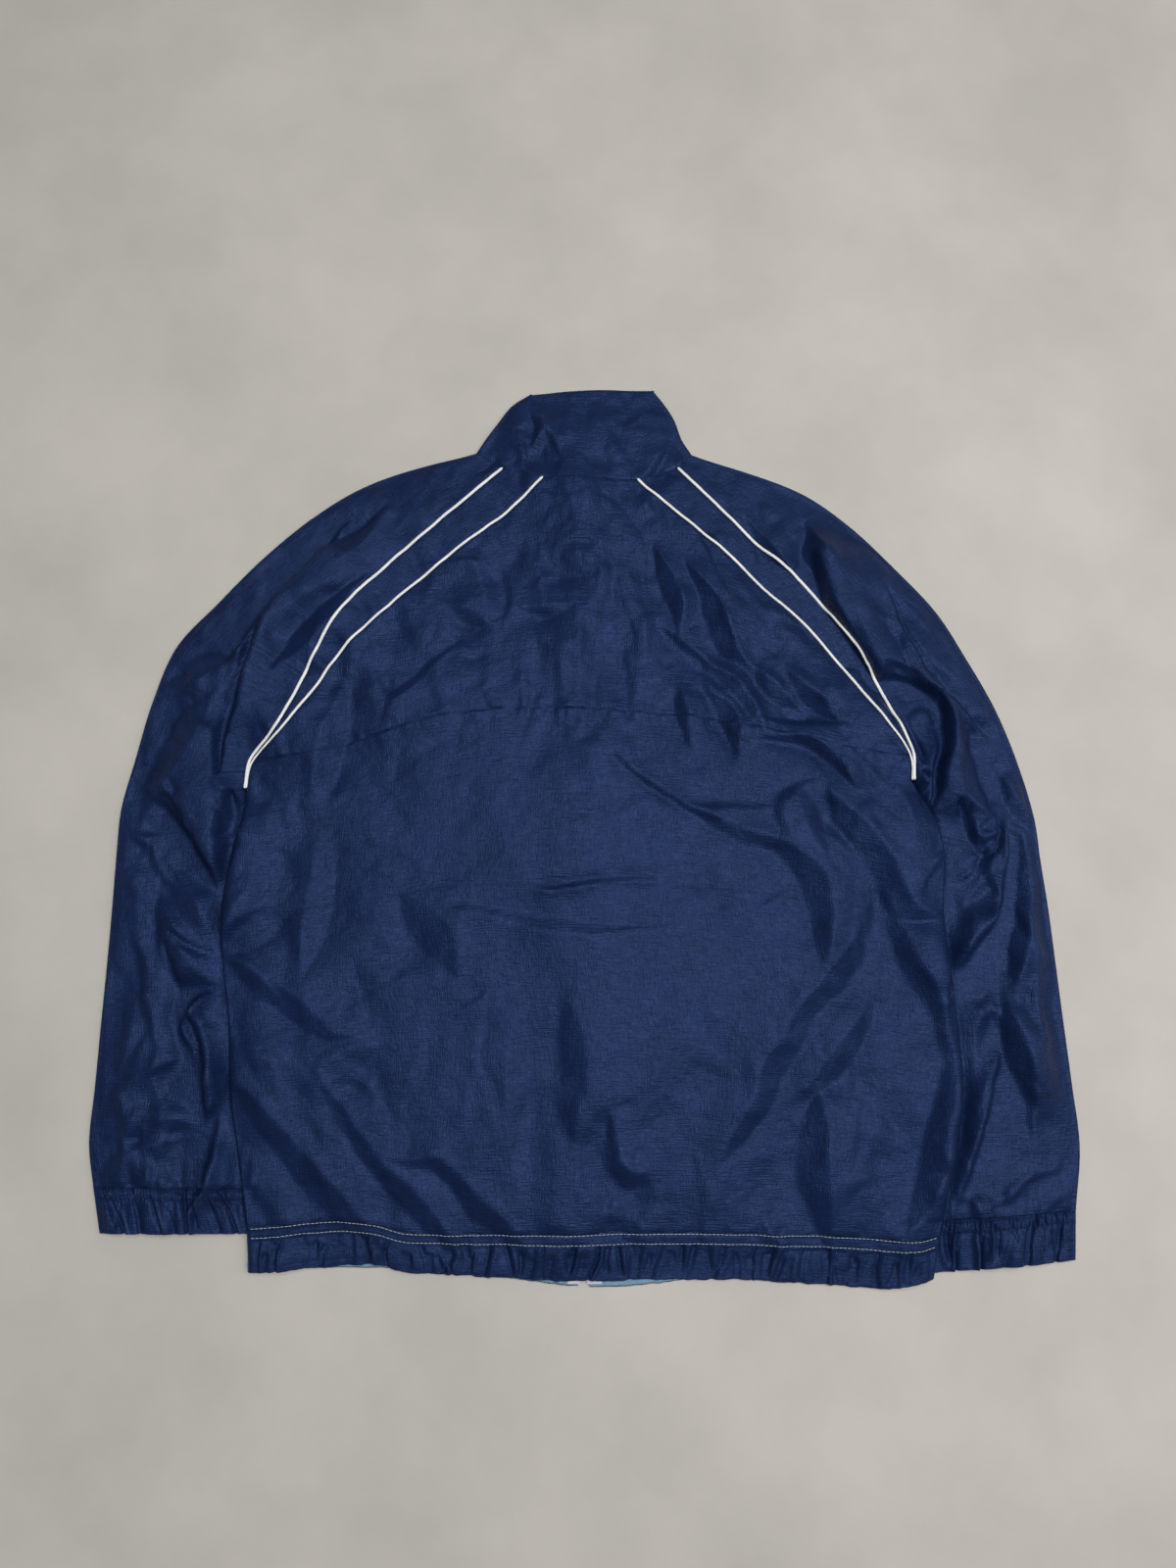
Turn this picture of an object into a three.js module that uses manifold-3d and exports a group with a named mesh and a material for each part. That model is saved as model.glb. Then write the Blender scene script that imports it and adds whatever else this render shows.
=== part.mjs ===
// Track jacket laid out face down on a flat surface, with its back up. Millimetres, +Z up, +X to the
// right and +Y towards the collar. The origin is on the surface, at the middle of the jacket's box.
// The garment is two layers of cloth: the lower one (fronts, undersides of the sleeves, front of the
// collar) lies on the surface, and the upper one (back, yoke, tops of the sleeves) lies on that.
import * as THREE from 'three';
import { mergeVertices } from 'three/addons/utils/BufferGeometryUtils.js';
import Module from 'manifold-3d';

const wasm = await Module();
wasm.setup();

// Driving sizes
const CLOTH = 1.8; // nylon with its lining, measured straight up
const SEAM_GAP = 0.3;
const FOLD_EDGE = 4.4; // height of the roll where a piece folds over on itself
const TUCK_LIFT = 5.2; // the body's side rises this much over the sleeve's inner edge
const TUCK_REACH = { full: 24, end: 62 }; // inwards from the side edge
const TUCK_START = { from: 6, to: 42 }; // below the armpit
const AIR = 6; // how far the upper layer stands off the lower one
const RIM = { flat: 5, soften: 13 }; // the upper layer comes down to the lower one at every edge
const ZIP_ROOM = { rise: 1.4, from: 16, to: 44 }; // the upper layer clears the zip's tapes
const PIPING = { width: 3.2, height: 2.2, sides: 8, clear: 0.5 };
const HEM_PLEATS = 28;
const HEM_ROWS = 2;
const CUFF_PLEATS = 13;
const PLEAT = { hem: 2.4, cuff: 2.6 };
const ZIP = { halfGap: 5, tapeFrom: 3, tapeTo: 15, tape: 1, halfChain: 2.6, chain: 2.5, top: 338 };
const SLIDER = { y: 339, width: 8.4, length: 11, plate: 1, lift: 3, liftFrom: 290, liftTo: 362, liftHalf: 34 };
const PULL = { bar: 1.1, arm: 0.8, halfWidth: 3.4, tab: 22, thick: 1.1, barZ: 1.45 };

// Grid steps
const PER_ROW = 2; // cells for each row of the sleeve tables
const ACROSS = 26; // cells across the back
const SIDE = 20; // cells from the armpit to the hem
const SIDE_FINE = 5; // below the armpit the fronts keep this many of them, and then every second one
const SLEEVE_UP = [0, 7, 15, 24, 36]; // first columns of a sleeve's top, in mm from its inner edge
const SLEEVE_REST = 5; // even cells from the last of them to the fold
const LOWER_CELLS = 3;
const ZIP_CELLS = { long: 12, short: 14, split: 280 }; // few below the split, more near the slider
const FOLD_ANGLES = [-45, 0, 45];

const NAVY = { color: 0x202f58, roughness: 0.55 };
const LIGHT_BLUE = { color: 0x7f9fb4, roughness: 0.6 };
const WHITE = { color: 0xedebe4, roughness: 0.7 };
const METAL = { color: 0x8a8780, roughness: 0.35, metalness: 0.9 };

// One row for each ring of a sleeve, from the collar to the cuff. The seam columns are the outer
// piping down to the armpit (row 9) and then the inner edge, tucked under the body. The inset
// columns are the inner piping, down to the armpit. The fold columns are the sleeve's outer edge.
const ARMPIT = 9;
const SLEEVE_LEFT = [
  // seamX, seamY, insetX, insetY, foldX, foldY
  [-76, 322, -38, 310, -101, 335],
  [-108, 292, -72, 277, -148, 325],
  [-149, 254, -115, 242, -205, 304],
  [-182, 223, -148, 214, -250, 275],
  [-219, 180, -185, 179, -295, 235],
  [-245, 133, -219, 143, -336, 190],
  [-261, 97, -242, 107, -370, 150],
  [-276, 69, -269, 70, -389, 98],
  [-297, 44, -293.5, 41.5, -401, 45],
  [-301, 18, -297, 18, -410.5, 0],
  [-312, -25, 0, 0, -412, -45],
  [-303, -72, 0, 0, -412.5, -90],
  [-298, -120, 0, 0, -413.5, -135],
  [-291, -180, 0, 0, -415, -185],
  [-284, -240, 0, 0, -416.5, -240],
  [-277, -290, 0, 0, -418, -285],
  [-274, -321, 0, 0, -412, -320],
];
const SLEEVE_RIGHT = [
  // seamX, seamY, insetX, insetY, foldX, foldY
  [87, 322, 49, 309, 101, 333],
  [115, 292, 83, 279, 150, 319],
  [160, 246, 131, 237, 205, 296],
  [193, 218, 164, 205, 246, 265],
  [225, 179, 201, 171, 286, 224],
  [248, 146, 228, 137, 322, 182],
  [265, 114, 250, 106, 347, 138],
  [279, 83, 270, 76, 370, 92],
  [292, 50, 287.5, 47, 387, 43],
  [293, 25, 288.5, 25, 399, -8],
  [320, -14, 0, 0, 402, -45],
  [306, -62, 0, 0, 406, -88],
  [297, -115, 0, 0, 409, -132],
  [301, -175, 0, 0, 412, -178],
  [304, -240, 0, 0, 416, -236],
  [297, -290, 0, 0, 419, -288],
  [286, -347, 0, 0, 412, -339],
];
// The body's side edge, from the armpit to the hem seam
const SIDE_LEFT = [[-299, 18], [-303, -8], [-309, -35], [-315, -80], [-316, -103], [-310, -146],
  [-304, -185], [-300, -243], [-292, -285], [-280, -352]];
const SIDE_RIGHT = [[291, 25], [306, 2], [315, -24], [317, -48], [313, -85], [317, -140],
  [321, -200], [322, -243], [316, -280], [296, -358]];
const HEM_SIDE_LEFT = [[-280, -352], [-277, -387]];
const HEM_SIDE_RIGHT = [[296, -358], [289, -391]];
const YOKE_SEAM = [[-293.5, 41.5], [-226, 54], [-136, 82], [-70, 91], [4, 91], [97, 84], [182, 69],
  [248, 52], [287.5, 47]];
const HEM_SEAM = [[-280, -352], [-205, -347], [-176, -349], [-150, -356], [-36, -357], [95, -356],
  [221, -359], [278, -361], [296, -358]];
const HEM_BOTTOM = [[-277, -387], [-209, -382], [-168, -381], [-150, -386], [-81, -390], [-14, -393],
  [108, -392], [199, -396], [262, -398], [289, -391]];
// The front hem shows below the back one round the zip, and is hidden elsewhere
const FRONT_HEM_BOTTOM = { side: -384, middle: -399.5, middleX: 15, reach: 100 };
// The collar
const COLLAR_LEFT = [[-99, 337], [-91, 350], [-80, 366], [-66, 385], [-49, 397]];
const COLLAR_RIGHT = [[99, 335], [90, 350], [83, 370], [75, 384], [63, 401]];
const COLLAR_TOP = [[-49, 397], [5, 401], [63, 401]];
const COLLAR_CELLS = { sleeve: 1, inset: 2, yoke: 6, height: 6, front: 5 };
const FRONT_NECK = { y: 262, raglan: 50, raglanY: 284, top: 350 };
const CUFF_BOTTOM_LEFT = { inner: [-278, -357], fold: [-404, -357] };
const CUFF_BOTTOM_RIGHT = { inner: [289, -388], fold: [409, -378] };

// Broad swellings where air is held under the cloth
const PUFFS = [
  // x, y, radiusX, radiusY, rise
  [-255, 60, 60, 70, 5],
  [250, 60, 60, 70, 6],
  [-372, 40, 34, 70, 8],
  [-372, -170, 38, 110, 7],
  [355, 90, 36, 70, 7],
  [372, -60, 34, 90, 7],
  [378, -230, 34, 80, 6],
  [-240, 215, 60, 50, 5],
  [250, 210, 50, 50, 5],
  [200, -30, 60, 60, 5],
  [-230, -220, 80, 90, 3],
  [120, -250, 110, 80, 2],
];

// The largest folds: a trough along three points, with a ridge standing on its left side, as seen
// when going from the first point to the last
const FOLDS = [
  // depth, width, ridge, x1, y1, x2, y2, x3, y3
  [3.5, 10, 2, 44, 60, 110, 20, 182, 0],
  [5, 14, 2.5, 178, 6, 208, -40, 206, -120],
  [5, 13, 3, 205, 40, 250, -4, 282, -66],
  [4, 12, 2, 268, -78, 296, -160, 300, -290],
  [3, 14, 1, 224, -96, 190, -160, 156, -250],
  [3, 14, 1, 197, -215, 190, -290, 204, -352],
  [3, 13, 1.5, -306, -112, -258, -142, -206, -176],
  [3.5, 14, 1.5, -296, -205, -240, -270, -172, -348],
  [3, 13, 1.5, -246, -160, -176, -262, -98, -350],
  [2.5, 13, 1, -158, -262, -100, -300, -44, -350],
  [3, 15, 1.5, -214, 132, -214, 50, -268, -36],
  [2, 12, 1, -120, -62, -30, -76, 60, -78],
  [2.5, 12, 1, 104, 248, 126, 190, 182, 138],
  [9, 10, 3, -222, 278, -276, 222, -303, 140],
  [6, 11, 2, -332, 122, -360, 72, -392, 14],
  [7, 10, 2, -376, 46, -350, 8, -320, -48],
  [6, 10, 2.5, -392, -8, -354, -54, -318, -104],
  [5, 11, 2, -368, -66, -350, -112, -322, -136],
  [9, 11, 3, -334, -140, -336, -210, -322, -306],
  [3, 9, 1.5, -408, -292, -384, -264, -334, -252],
  [5, 12, 2, 206, 288, 228, 244, 282, 216],
  [8, 10, 3, 224, 218, 256, 160, 298, 106],
  [8, 10, 3, 300, 142, 328, 92, 352, 30],
  [5, 9, 2, 362, 68, 380, 28, 396, 2],
  [9, 10, 3, 366, -4, 364, -74, 318, -148],
  [5, 11, 2, 388, -10, 381, -100, 390, -172],
  [6, 12, 2, 366, -180, 346, -246, 316, -310],
  [6, 9, 2, 322, -300, 334, -318, 334, -346],
];

// Arithmetic
const clamp = (value, low, high) => Math.min(high, Math.max(low, value));
const lerp = (a, b, t) => a + (b - a) * t;
const mix = (p, q, t) => [lerp(p[0], q[0], t), lerp(p[1], q[1], t)];
const smoothstep = (from, to, value) => {
  const t = clamp((value - from) / (to - from), 0, 1);
  return t * t * (3 - 2 * t);
};
const steps = count => Array.from({ length: count + 1 }, (_, i) => i / count);
const columns = (rows, x) => rows.map(row => [row[x], row[x + 1]]);

// A smooth path through points. The parameter runs from 0 to the number of spans, one for each.
function throughPoints(points) {
  const path = new THREE.CatmullRomCurve3(points.map(([x, y]) => new THREE.Vector3(x, y, 0)), false, 'centripetal');
  const spans = points.length - 1;
  return s => {
    const p = path.getPoint(clamp(s / spans, 0, 1));
    return [p.x, p.y];
  };
}

// The same path in equal steps along its length, or in given fractions of it
function alongPath(points, fractions) {
  const path = new THREE.CatmullRomCurve3(points.map(([x, y]) => new THREE.Vector3(x, y, 0)), false, 'centripetal');
  return fractions.map(t => {
    const p = path.getPointAt(t);
    return [p.x, p.y];
  });
}

const straight = (p, q, count) => steps(count).map(t => mix(p, q, t));
const joinRuns = runs => runs.reduce((all, run) => (all.length ? all.concat(run.slice(1)) : run.slice()), []);
const subdivide = (points, count) => joinRuns(points.slice(1).map((q, i) => straight(points[i], q, count)));

// Steps that are closer together at both ends
const crowded = count => steps(count).map(t => t - 0.07 * Math.sin(2 * Math.PI * t));

// Nearest point of a run of straight lines: distance, fraction of the run, and side (left is +)
function nearest(points, x, y) {
  let best = { distance: Infinity, along: 0, side: 1 };
  for (let i = 0; i + 1 < points.length; i++) {
    const [ax, ay] = points[i];
    const dx = points[i + 1][0] - ax;
    const dy = points[i + 1][1] - ay;
    const t = clamp(((x - ax) * dx + (y - ay) * dy) / (dx * dx + dy * dy), 0, 1);
    const distance = Math.hypot(x - ax - t * dx, y - ay - t * dy);
    if (distance < best.distance) {
      const side = dx * (y - ay) - dy * (x - ax) >= 0 ? 1 : -1;
      best = { distance, along: (i + t) / (points.length - 1), side };
    }
  }
  return best;
}

// The two sides of the jacket
function sleevePaths(table) {
  return {
    seam: throughPoints(columns(table, 0)),
    inset: throughPoints(columns(table, 2).slice(0, ARMPIT + 1)),
    fold: throughPoints(columns(table, 4)),
    rows: table.length - 1,
  };
}
const LEFT = { sign: -1, ...sleevePaths(SLEEVE_LEFT), side: SIDE_LEFT, hemSide: HEM_SIDE_LEFT, cuff: CUFF_BOTTOM_LEFT };
const RIGHT = { sign: 1, ...sleevePaths(SLEEVE_RIGHT), side: SIDE_RIGHT, hemSide: HEM_SIDE_RIGHT, cuff: CUFF_BOTTOM_RIGHT };
for (const half of [LEFT, RIGHT]) {
  half.sidePoints = alongPath(half.side, steps(SIDE));
  half.bodyEdge = half.sidePoints.concat([half.hemSide[1]]);
  half.foldLine = steps(half.rows * PER_ROW).map(t => half.fold(t * half.rows)).concat([half.cuff.fold]);
}
const COLLAR_OUTLINE = joinRuns([COLLAR_LEFT, COLLAR_TOP, COLLAR_RIGHT.slice().reverse()]);
const RIMS = [LEFT.bodyEdge, RIGHT.bodyEdge, LEFT.foldLine, RIGHT.foldLine, COLLAR_OUTLINE, HEM_BOTTOM];

// How far the lower layer is off the surface: over the tucked sleeves, and over the zip's slider
function lift(x, y) {
  const half = x < 0 ? LEFT : RIGHT;
  const armpitY = half.side[0][1];
  const tuck = smoothstep(armpitY - TUCK_START.from, armpitY - TUCK_START.to, y);
  const edge = nearest(half.bodyEdge, x, y);
  const over = tuck > 0 ? 1 - smoothstep(TUCK_REACH.full, TUCK_REACH.end, edge.distance) : 0;
  const alongZip = smoothstep(SLIDER.liftFrom - 30, SLIDER.liftFrom, y) * (1 - smoothstep(SLIDER.liftTo, SLIDER.liftTo + 30, y));
  const acrossZip = 1 - smoothstep(12, SLIDER.liftHalf, Math.abs(x));
  return TUCK_LIFT * tuck * over + SLIDER.lift * alongZip * acrossZip;
}

// Whether a point lies under the body, inside its side edge
function underBody(x, y) {
  const half = x < 0 ? LEFT : RIGHT;
  const edge = nearest(half.bodyEdge, x, y);
  return y < half.side[0][1] && edge.side * half.sign < 0;
}

const foldRuns = FOLDS.map(([depth, width, ridge, ...xy]) => {
  const ends = [[xy[0], xy[1]], [xy[2], xy[3]], [xy[4], xy[5]]];
  return { depth, width, ridge, run: alongPath(ends, steps(8)) };
});

// Height that the folds and swellings add to the upper layer
function relief(x, y) {
  let rise = 0;
  for (const [px, py, rx, ry, up] of PUFFS) {
    rise += up * Math.exp(-(((x - px) / rx) ** 2) - ((y - py) / ry) ** 2);
  }
  for (const { depth, width, ridge, run } of foldRuns) {
    const near = nearest(run, x, y);
    if (near.distance < 4 * width) {
      const fade = 1 - (2 * near.along - 1) ** 4;
      const across = near.distance * near.side;
      rise -= depth * fade * Math.exp(-((across / width) ** 2));
      rise += ridge * fade * Math.exp(-(((across - 1.7 * width) / width) ** 2));
    }
  }
  return rise;
}

// Top of the upper layer. A sleeve lies flat where it is under the body.
function topOf(x, y, onSleeve = false) {
  const rim = Math.min(...RIMS.map(line => nearest(line, x, y).distance));
  const tucked = onSleeve && underBody(x, y);
  const open = tucked ? 0 : 1 - Math.exp(-Math.max(0, rim - RIM.flat) / RIM.soften);
  const overZip = ZIP_ROOM.rise * (1 - smoothstep(ZIP_ROOM.from, ZIP_ROOM.to, Math.abs(x)));
  const base = onSleeve ? 0 : lift(x, y) + overZip;
  return base + FOLD_EDGE + Math.max(0.1, AIR + relief(x, y)) * open;
}

// A grid between four edges: rows run from bottom to top, columns from left to right
function patch(bottom, top, left, right) {
  const nu = bottom.length - 1;
  const nv = left.length - 1;
  return left.map((_, j) => bottom.map((__, i) => {
    const u = i / nu;
    const v = j / nv;
    return [0, 1].map(c => lerp(bottom[i][c], top[i][c], v) + lerp(left[j][c], right[j][c], u)
      - lerp(lerp(bottom[0][c], bottom[nu][c], u), lerp(top[0][c], top[nu][c], u), v));
  }));
}

// Moves the outer points of a grid inwards by half a seam gap, so that two pieces never touch
function drawIn(grid, { first = true, last = true, start = true, end = true } = {}) {
  const moved = grid.map(row => row.map(p => p.slice()));
  const nv = grid.length - 1;
  const nu = grid[0].length - 1;
  const shift = (j, i, before, after, inner) => {
    const tx = after[0] - before[0];
    const ty = after[1] - before[1];
    const size = Math.hypot(tx, ty) || 1;
    const inwards = (inner[0] - grid[j][i][0]) * -ty + (inner[1] - grid[j][i][1]) * tx >= 0 ? 1 : -1;
    moved[j][i][0] += (-ty / size) * inwards * SEAM_GAP / 2;
    moved[j][i][1] += (tx / size) * inwards * SEAM_GAP / 2;
  };
  for (let i = 0; i <= nu; i++) {
    const a = Math.max(0, i - 1);
    const b = Math.min(nu, i + 1);
    if (first) shift(0, i, grid[0][a], grid[0][b], grid[1][i]);
    if (last) shift(nv, i, grid[nv][a], grid[nv][b], grid[nv - 1][i]);
  }
  for (let j = 0; j <= nv; j++) {
    const a = Math.max(0, j - 1);
    const b = Math.min(nv, j + 1);
    if (start) shift(j, 0, grid[a][0], grid[b][0], grid[j][1]);
    if (end) shift(j, nu, grid[a][nu], grid[b][nu], grid[j][nu - 1]);
  }
  return moved;
}

// A closed wall between two grids of points of the same size
function wall(outer, inner) {
  const rows = outer.length;
  const cols = outer[0].length;
  const positions = outer.flat(2).concat(inner.flat(2));
  const at = (side, j, i) => side * rows * cols + j * cols + i;
  const index = [];
  const quad = (a, b, c, d) => index.push(a, b, c, a, c, d);
  for (let j = 0; j + 1 < rows; j++) {
    for (let i = 0; i + 1 < cols; i++) {
      quad(at(0, j, i), at(0, j, i + 1), at(0, j + 1, i + 1), at(0, j + 1, i));
      quad(at(1, j, i), at(1, j + 1, i), at(1, j + 1, i + 1), at(1, j, i + 1));
    }
  }
  for (let i = 0; i + 1 < cols; i++) {
    quad(at(0, 0, i), at(1, 0, i), at(1, 0, i + 1), at(0, 0, i + 1));
    quad(at(0, rows - 1, i), at(0, rows - 1, i + 1), at(1, rows - 1, i + 1), at(1, rows - 1, i));
  }
  for (let j = 0; j + 1 < rows; j++) {
    quad(at(0, j, 0), at(0, j + 1, 0), at(1, j + 1, 0), at(1, j, 0));
    quad(at(0, j, cols - 1), at(1, j, cols - 1), at(1, j + 1, cols - 1), at(0, j + 1, cols - 1));
  }
  return outward(positions, index);
}

// A geometry whose faces point out of the volume that they close
function outward(positions, index) {
  let volume = 0;
  const point = k => new THREE.Vector3(...positions.slice(3 * k, 3 * k + 3));
  for (let k = 0; k < index.length; k += 3) {
    volume += point(index[k]).dot(point(index[k + 1]).cross(point(index[k + 2])));
  }
  const faces = volume > 0 ? index : index.slice().reverse();
  const geometry = new THREE.BufferGeometry();
  geometry.setAttribute('position', new THREE.Float32BufferAttribute(positions, 3));
  geometry.setIndex(faces);
  geometry.computeVertexNormals();
  return geometry;
}

const jacket = new THREE.Group();
function add(name, geometry, finish) {
  const mesh = new THREE.Mesh(geometry, new THREE.MeshStandardMaterial(finish));
  mesh.name = name;
  jacket.add(mesh);
  return mesh;
}

// A panel of the upper layer, with a height to add at each of its points
function upperPanel(name, grid, edges, extra = () => 0) {
  const plan = drawIn(grid, edges);
  const outer = plan.map((row, j) => row.map(([x, y], i) => [x, y, topOf(x, y) + extra(x, y, i, j)]));
  const inner = outer.map(row => row.map(([x, y, z]) => [x, y, z - CLOTH]));
  add(name, wall(outer, inner), NAVY);
}

// A panel of the lower layer
function lowerPanel(name, grid, finish) {
  const plan = drawIn(grid);
  const outer = plan.map(row => row.map(([x, y]) => [x, y, lift(x, y)]));
  const inner = outer.map(row => row.map(([x, y, z]) => [x, y, z + CLOTH]));
  add(name, wall(outer, inner), finish);
}

// Points of a section that lies below, rolls over at its fold, and comes back above. Each point
// is given as an outer and an inner one. The last point below and the first above are the fold's.
function foldedSection(below, above, onSleeve, extra = () => 0) {
  const fold = below[below.length - 1];
  const next = above[1];
  const size = Math.hypot(fold[0] - next[0], fold[1] - next[1]);
  const away = [(fold[0] - next[0]) / size, (fold[1] - next[1]) / size];
  const radius = FOLD_EDGE / 2;
  const base = ([x, y]) => (onSleeve ? 0 : lift(x, y));
  const lowerPoints = below.map(p => ({ outer: [...p, base(p)], inner: [...p, base(p) + CLOTH] }));
  const roll = FOLD_ANGLES.map(angle => {
    const c = Math.cos(THREE.MathUtils.degToRad(angle));
    const s = Math.sin(THREE.MathUtils.degToRad(angle));
    const round = r => [fold[0] + away[0] * c * r, fold[1] + away[1] * c * r, base(fold) + radius + s * r];
    return { outer: round(radius), inner: round(radius - CLOTH) };
  });
  const upperPoints = above.map((p, i) => {
    const z = i === 0 ? base(p) + FOLD_EDGE : topOf(p[0], p[1], onSleeve) + extra(p, i);
    return { outer: [...p, z], inner: [...p, z - CLOTH] };
  });
  return lowerPoints.concat(roll, upperPoints);
}

function foldedPiece(name, below, above, onSleeve, finish, extra) {
  const sections = below.map((row, j) => foldedSection(row, above[j], onSleeve, extra && ((p, i) => extra(p, i, j))));
  add(name, wall(sections.map(row => row.map(p => p.outer)), sections.map(row => row.map(p => p.inner))), finish);
}

// Names for the parameter steps that neighbours share
const raglanSteps = steps(ARMPIT * PER_ROW).map(t => t * ARMPIT);
const yokeSteps = raglanSteps.filter(t => t <= ARMPIT - 1);
const tipSteps = raglanSteps.filter(t => t >= ARMPIT - 1);
const yokeSeam = alongPath(YOKE_SEAM, crowded(ACROSS));
const hemSeam = alongPath(HEM_SEAM, crowded(ACROSS));

// The front raglan seam follows the back one and moves over to the front neck at its top
function frontRaglan(half, t) {
  const [x, y] = half.seam(t);
  const [topX, topY] = half.seam(0);
  const share = Math.max(0, 1 - t / ARMPIT);
  return [x + share * (half.sign * FRONT_NECK.raglan - topX), y + share * (FRONT_NECK.raglanY - topY)];
}

function buildBack() {
  const top = straight(LEFT.inset(0), RIGHT.inset(0), ACROSS);
  const yokeLeft = yokeSteps.map(t => LEFT.inset(t)).reverse();
  const yokeRight = yokeSteps.map(t => RIGHT.inset(t)).reverse();
  upperPanel('back_yoke', patch(yokeSeam, top, yokeLeft, yokeRight));
  const [left, right] = [LEFT, RIGHT].map(half => {
    const tip = tipSteps.map(t => half.inset(t));
    const corner = tip[tip.length - 1];
    const below = half.sidePoints.slice(1).map((p, i) => [lerp(corner[0] - half.side[0][0] + p[0], p[0], Math.min(1, i / 3)), p[1]]);
    return tip.concat(below).reverse();
  });
  upperPanel('back_lower', patch(hemSeam, yokeSeam, left, right));
}

function buildInset(half, name) {
  const inner = raglanSteps.map(t => half.inset(t));
  const outer = raglanSteps.map(t => half.seam(t));
  const bottom = straight(inner[0], outer[0], 2);
  const top = straight(inner[inner.length - 1], outer[outer.length - 1], 2);
  upperPanel(name, patch(bottom, top, inner, outer));
}

function buildPiping(half, name, path) {
  const centre = raglanSteps.map(t => path(t));
  const rings = centre.map(([x, y], i) => {
    const before = centre[Math.max(0, i - 1)];
    const after = centre[Math.min(centre.length - 1, i + 1)];
    const size = Math.hypot(after[0] - before[0], after[1] - before[1]);
    const across = [-(after[1] - before[1]) / size, (after[0] - before[0]) / size];
    const base = topOf(x, y) + PIPING.clear + PIPING.height / 2;
    return steps(PIPING.sides).slice(0, -1).map(t => {
      const w = Math.cos(2 * Math.PI * t) * PIPING.width / 2;
      return [x + across[0] * w, y + across[1] * w, base + Math.sin(2 * Math.PI * t) * PIPING.height / 2];
    });
  });
  const count = PIPING.sides;
  const positions = rings.flat(2);
  const index = [];
  for (let j = 0; j + 1 < rings.length; j++) {
    for (let i = 0; i < count; i++) {
      const a = j * count + i;
      const b = j * count + ((i + 1) % count);
      index.push(a, b, b + count, a, b + count, a + count);
    }
  }
  const last = (rings.length - 1) * count;
  for (let i = 1; i + 1 < count; i++) {
    index.push(0, i + 1, i);
    index.push(last, last + i, last + i + 1);
  }
  add(name, outward(positions, index), WHITE);
}

// A sleeve is one piece, folded at its outer edge. Its two long edges meet at the underarm seam.
function buildSleeve(half, name) {
  const stations = steps(half.rows * PER_ROW).map(t => t * half.rows);
  const radius = FOLD_EDGE / 2;
  const plan = stations.map(t => {
    const seam = half.seam(t);
    const edge = half.fold(t);
    const length = Math.hypot(edge[0] - seam[0], edge[1] - seam[1]);
    const fold = mix(seam, edge, (length - radius) / length);
    const first = SLEEVE_UP.filter(d => d < length * 0.55).map(d => d / (length - radius));
    while (first.length < SLEEVE_UP.length) first.push(first[first.length - 1] + 0.1);
    const spread = Math.min(1, length / 70);
    const near = first.map((f, i) => lerp(i / (SLEEVE_UP.length + SLEEVE_REST - 1), f, spread));
    const rest = steps(SLEEVE_REST).slice(1).map(u => lerp(near[near.length - 1], 1, u));
    const above = near.concat(rest).map(f => mix(seam, fold, f)).reverse();
    const start = t < ARMPIT ? frontRaglan(half, t) : seam;
    const below = steps(LOWER_CELLS).map(u => mix(start, fold, u));
    return { above, below };
  });
  const above = drawIn(plan.map(p => p.above), { start: false });
  const below = drawIn(plan.map(p => p.below), { end: false });
  foldedPiece(name, below, above, true, NAVY);
}

// Pleats with uneven spacing: each peak is moved a little by its number
const pleatPhase = (t, count) => t * count + 0.22 * Math.sin(2.4 * t * count) + 0.15 * Math.sin(5.1 * t * count + 1);
const pleatWave = phase => 0.5 - 0.5 * Math.cos(2 * Math.PI * phase);

function buildCuff(half, name) {
  const top = { inner: half.seam(half.rows), fold: half.fold(half.rows) };
  const radius = FOLD_EDGE / 2;
  const rows = steps(2).map(v => {
    const seam = mix(top.inner, half.cuff.inner, v);
    const edge = mix(top.fold, half.cuff.fold, v);
    const length = Math.hypot(edge[0] - seam[0], edge[1] - seam[1]);
    const fold = mix(seam, edge, (length - radius) / length);
    return {
      above: straight(fold, seam, CUFF_PLEATS * 3),
      below: straight(seam, fold, 6),
    };
  });
  const above = drawIn(rows.map(row => row.above), { start: false });
  const below = drawIn(rows.map(row => row.below), { end: false });
  const pleat = ([x, y], i) => {
    if (underBody(x, y) || nearest(half.bodyEdge, x, y).distance < 4) return 0;
    return PLEAT.cuff * pleatWave(pleatPhase(i / (CUFF_PLEATS * 3), CUFF_PLEATS)) * smoothstep(0, 3, i);
  };
  foldedPiece(name, below, above, true, NAVY, pleat);
}

function buildHemBack() {
  const count = HEM_PLEATS * 3;
  const top = subdivide(hemSeam, Math.ceil(count / ACROSS));
  const cells = top.length - 1;
  const bottom = alongPath(HEM_BOTTOM, crowded(ACROSS));
  const bottomFine = subdivide(bottom, Math.ceil(count / ACROSS));
  const left = straight(bottomFine[0], top[0], HEM_ROWS);
  const right = straight(bottomFine[cells], top[cells], HEM_ROWS);
  const pleat = (x, y, i, j) => {
    const edge = smoothstep(0, 4, Math.min(i, cells - i));
    return PLEAT.hem * pleatWave(pleatPhase(i / cells, HEM_PLEATS)) * edge * (j === HEM_ROWS ? 0.4 : 1);
  };
  upperPanel('hem_back', patch(bottomFine, top, left, right), {}, pleat);
}

function frontHemBottom(x) {
  const near = Math.exp(-(((x - FRONT_HEM_BOTTOM.middleX) / FRONT_HEM_BOTTOM.reach) ** 2));
  return lerp(FRONT_HEM_BOTTOM.side, FRONT_HEM_BOTTOM.middle, near);
}

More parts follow.
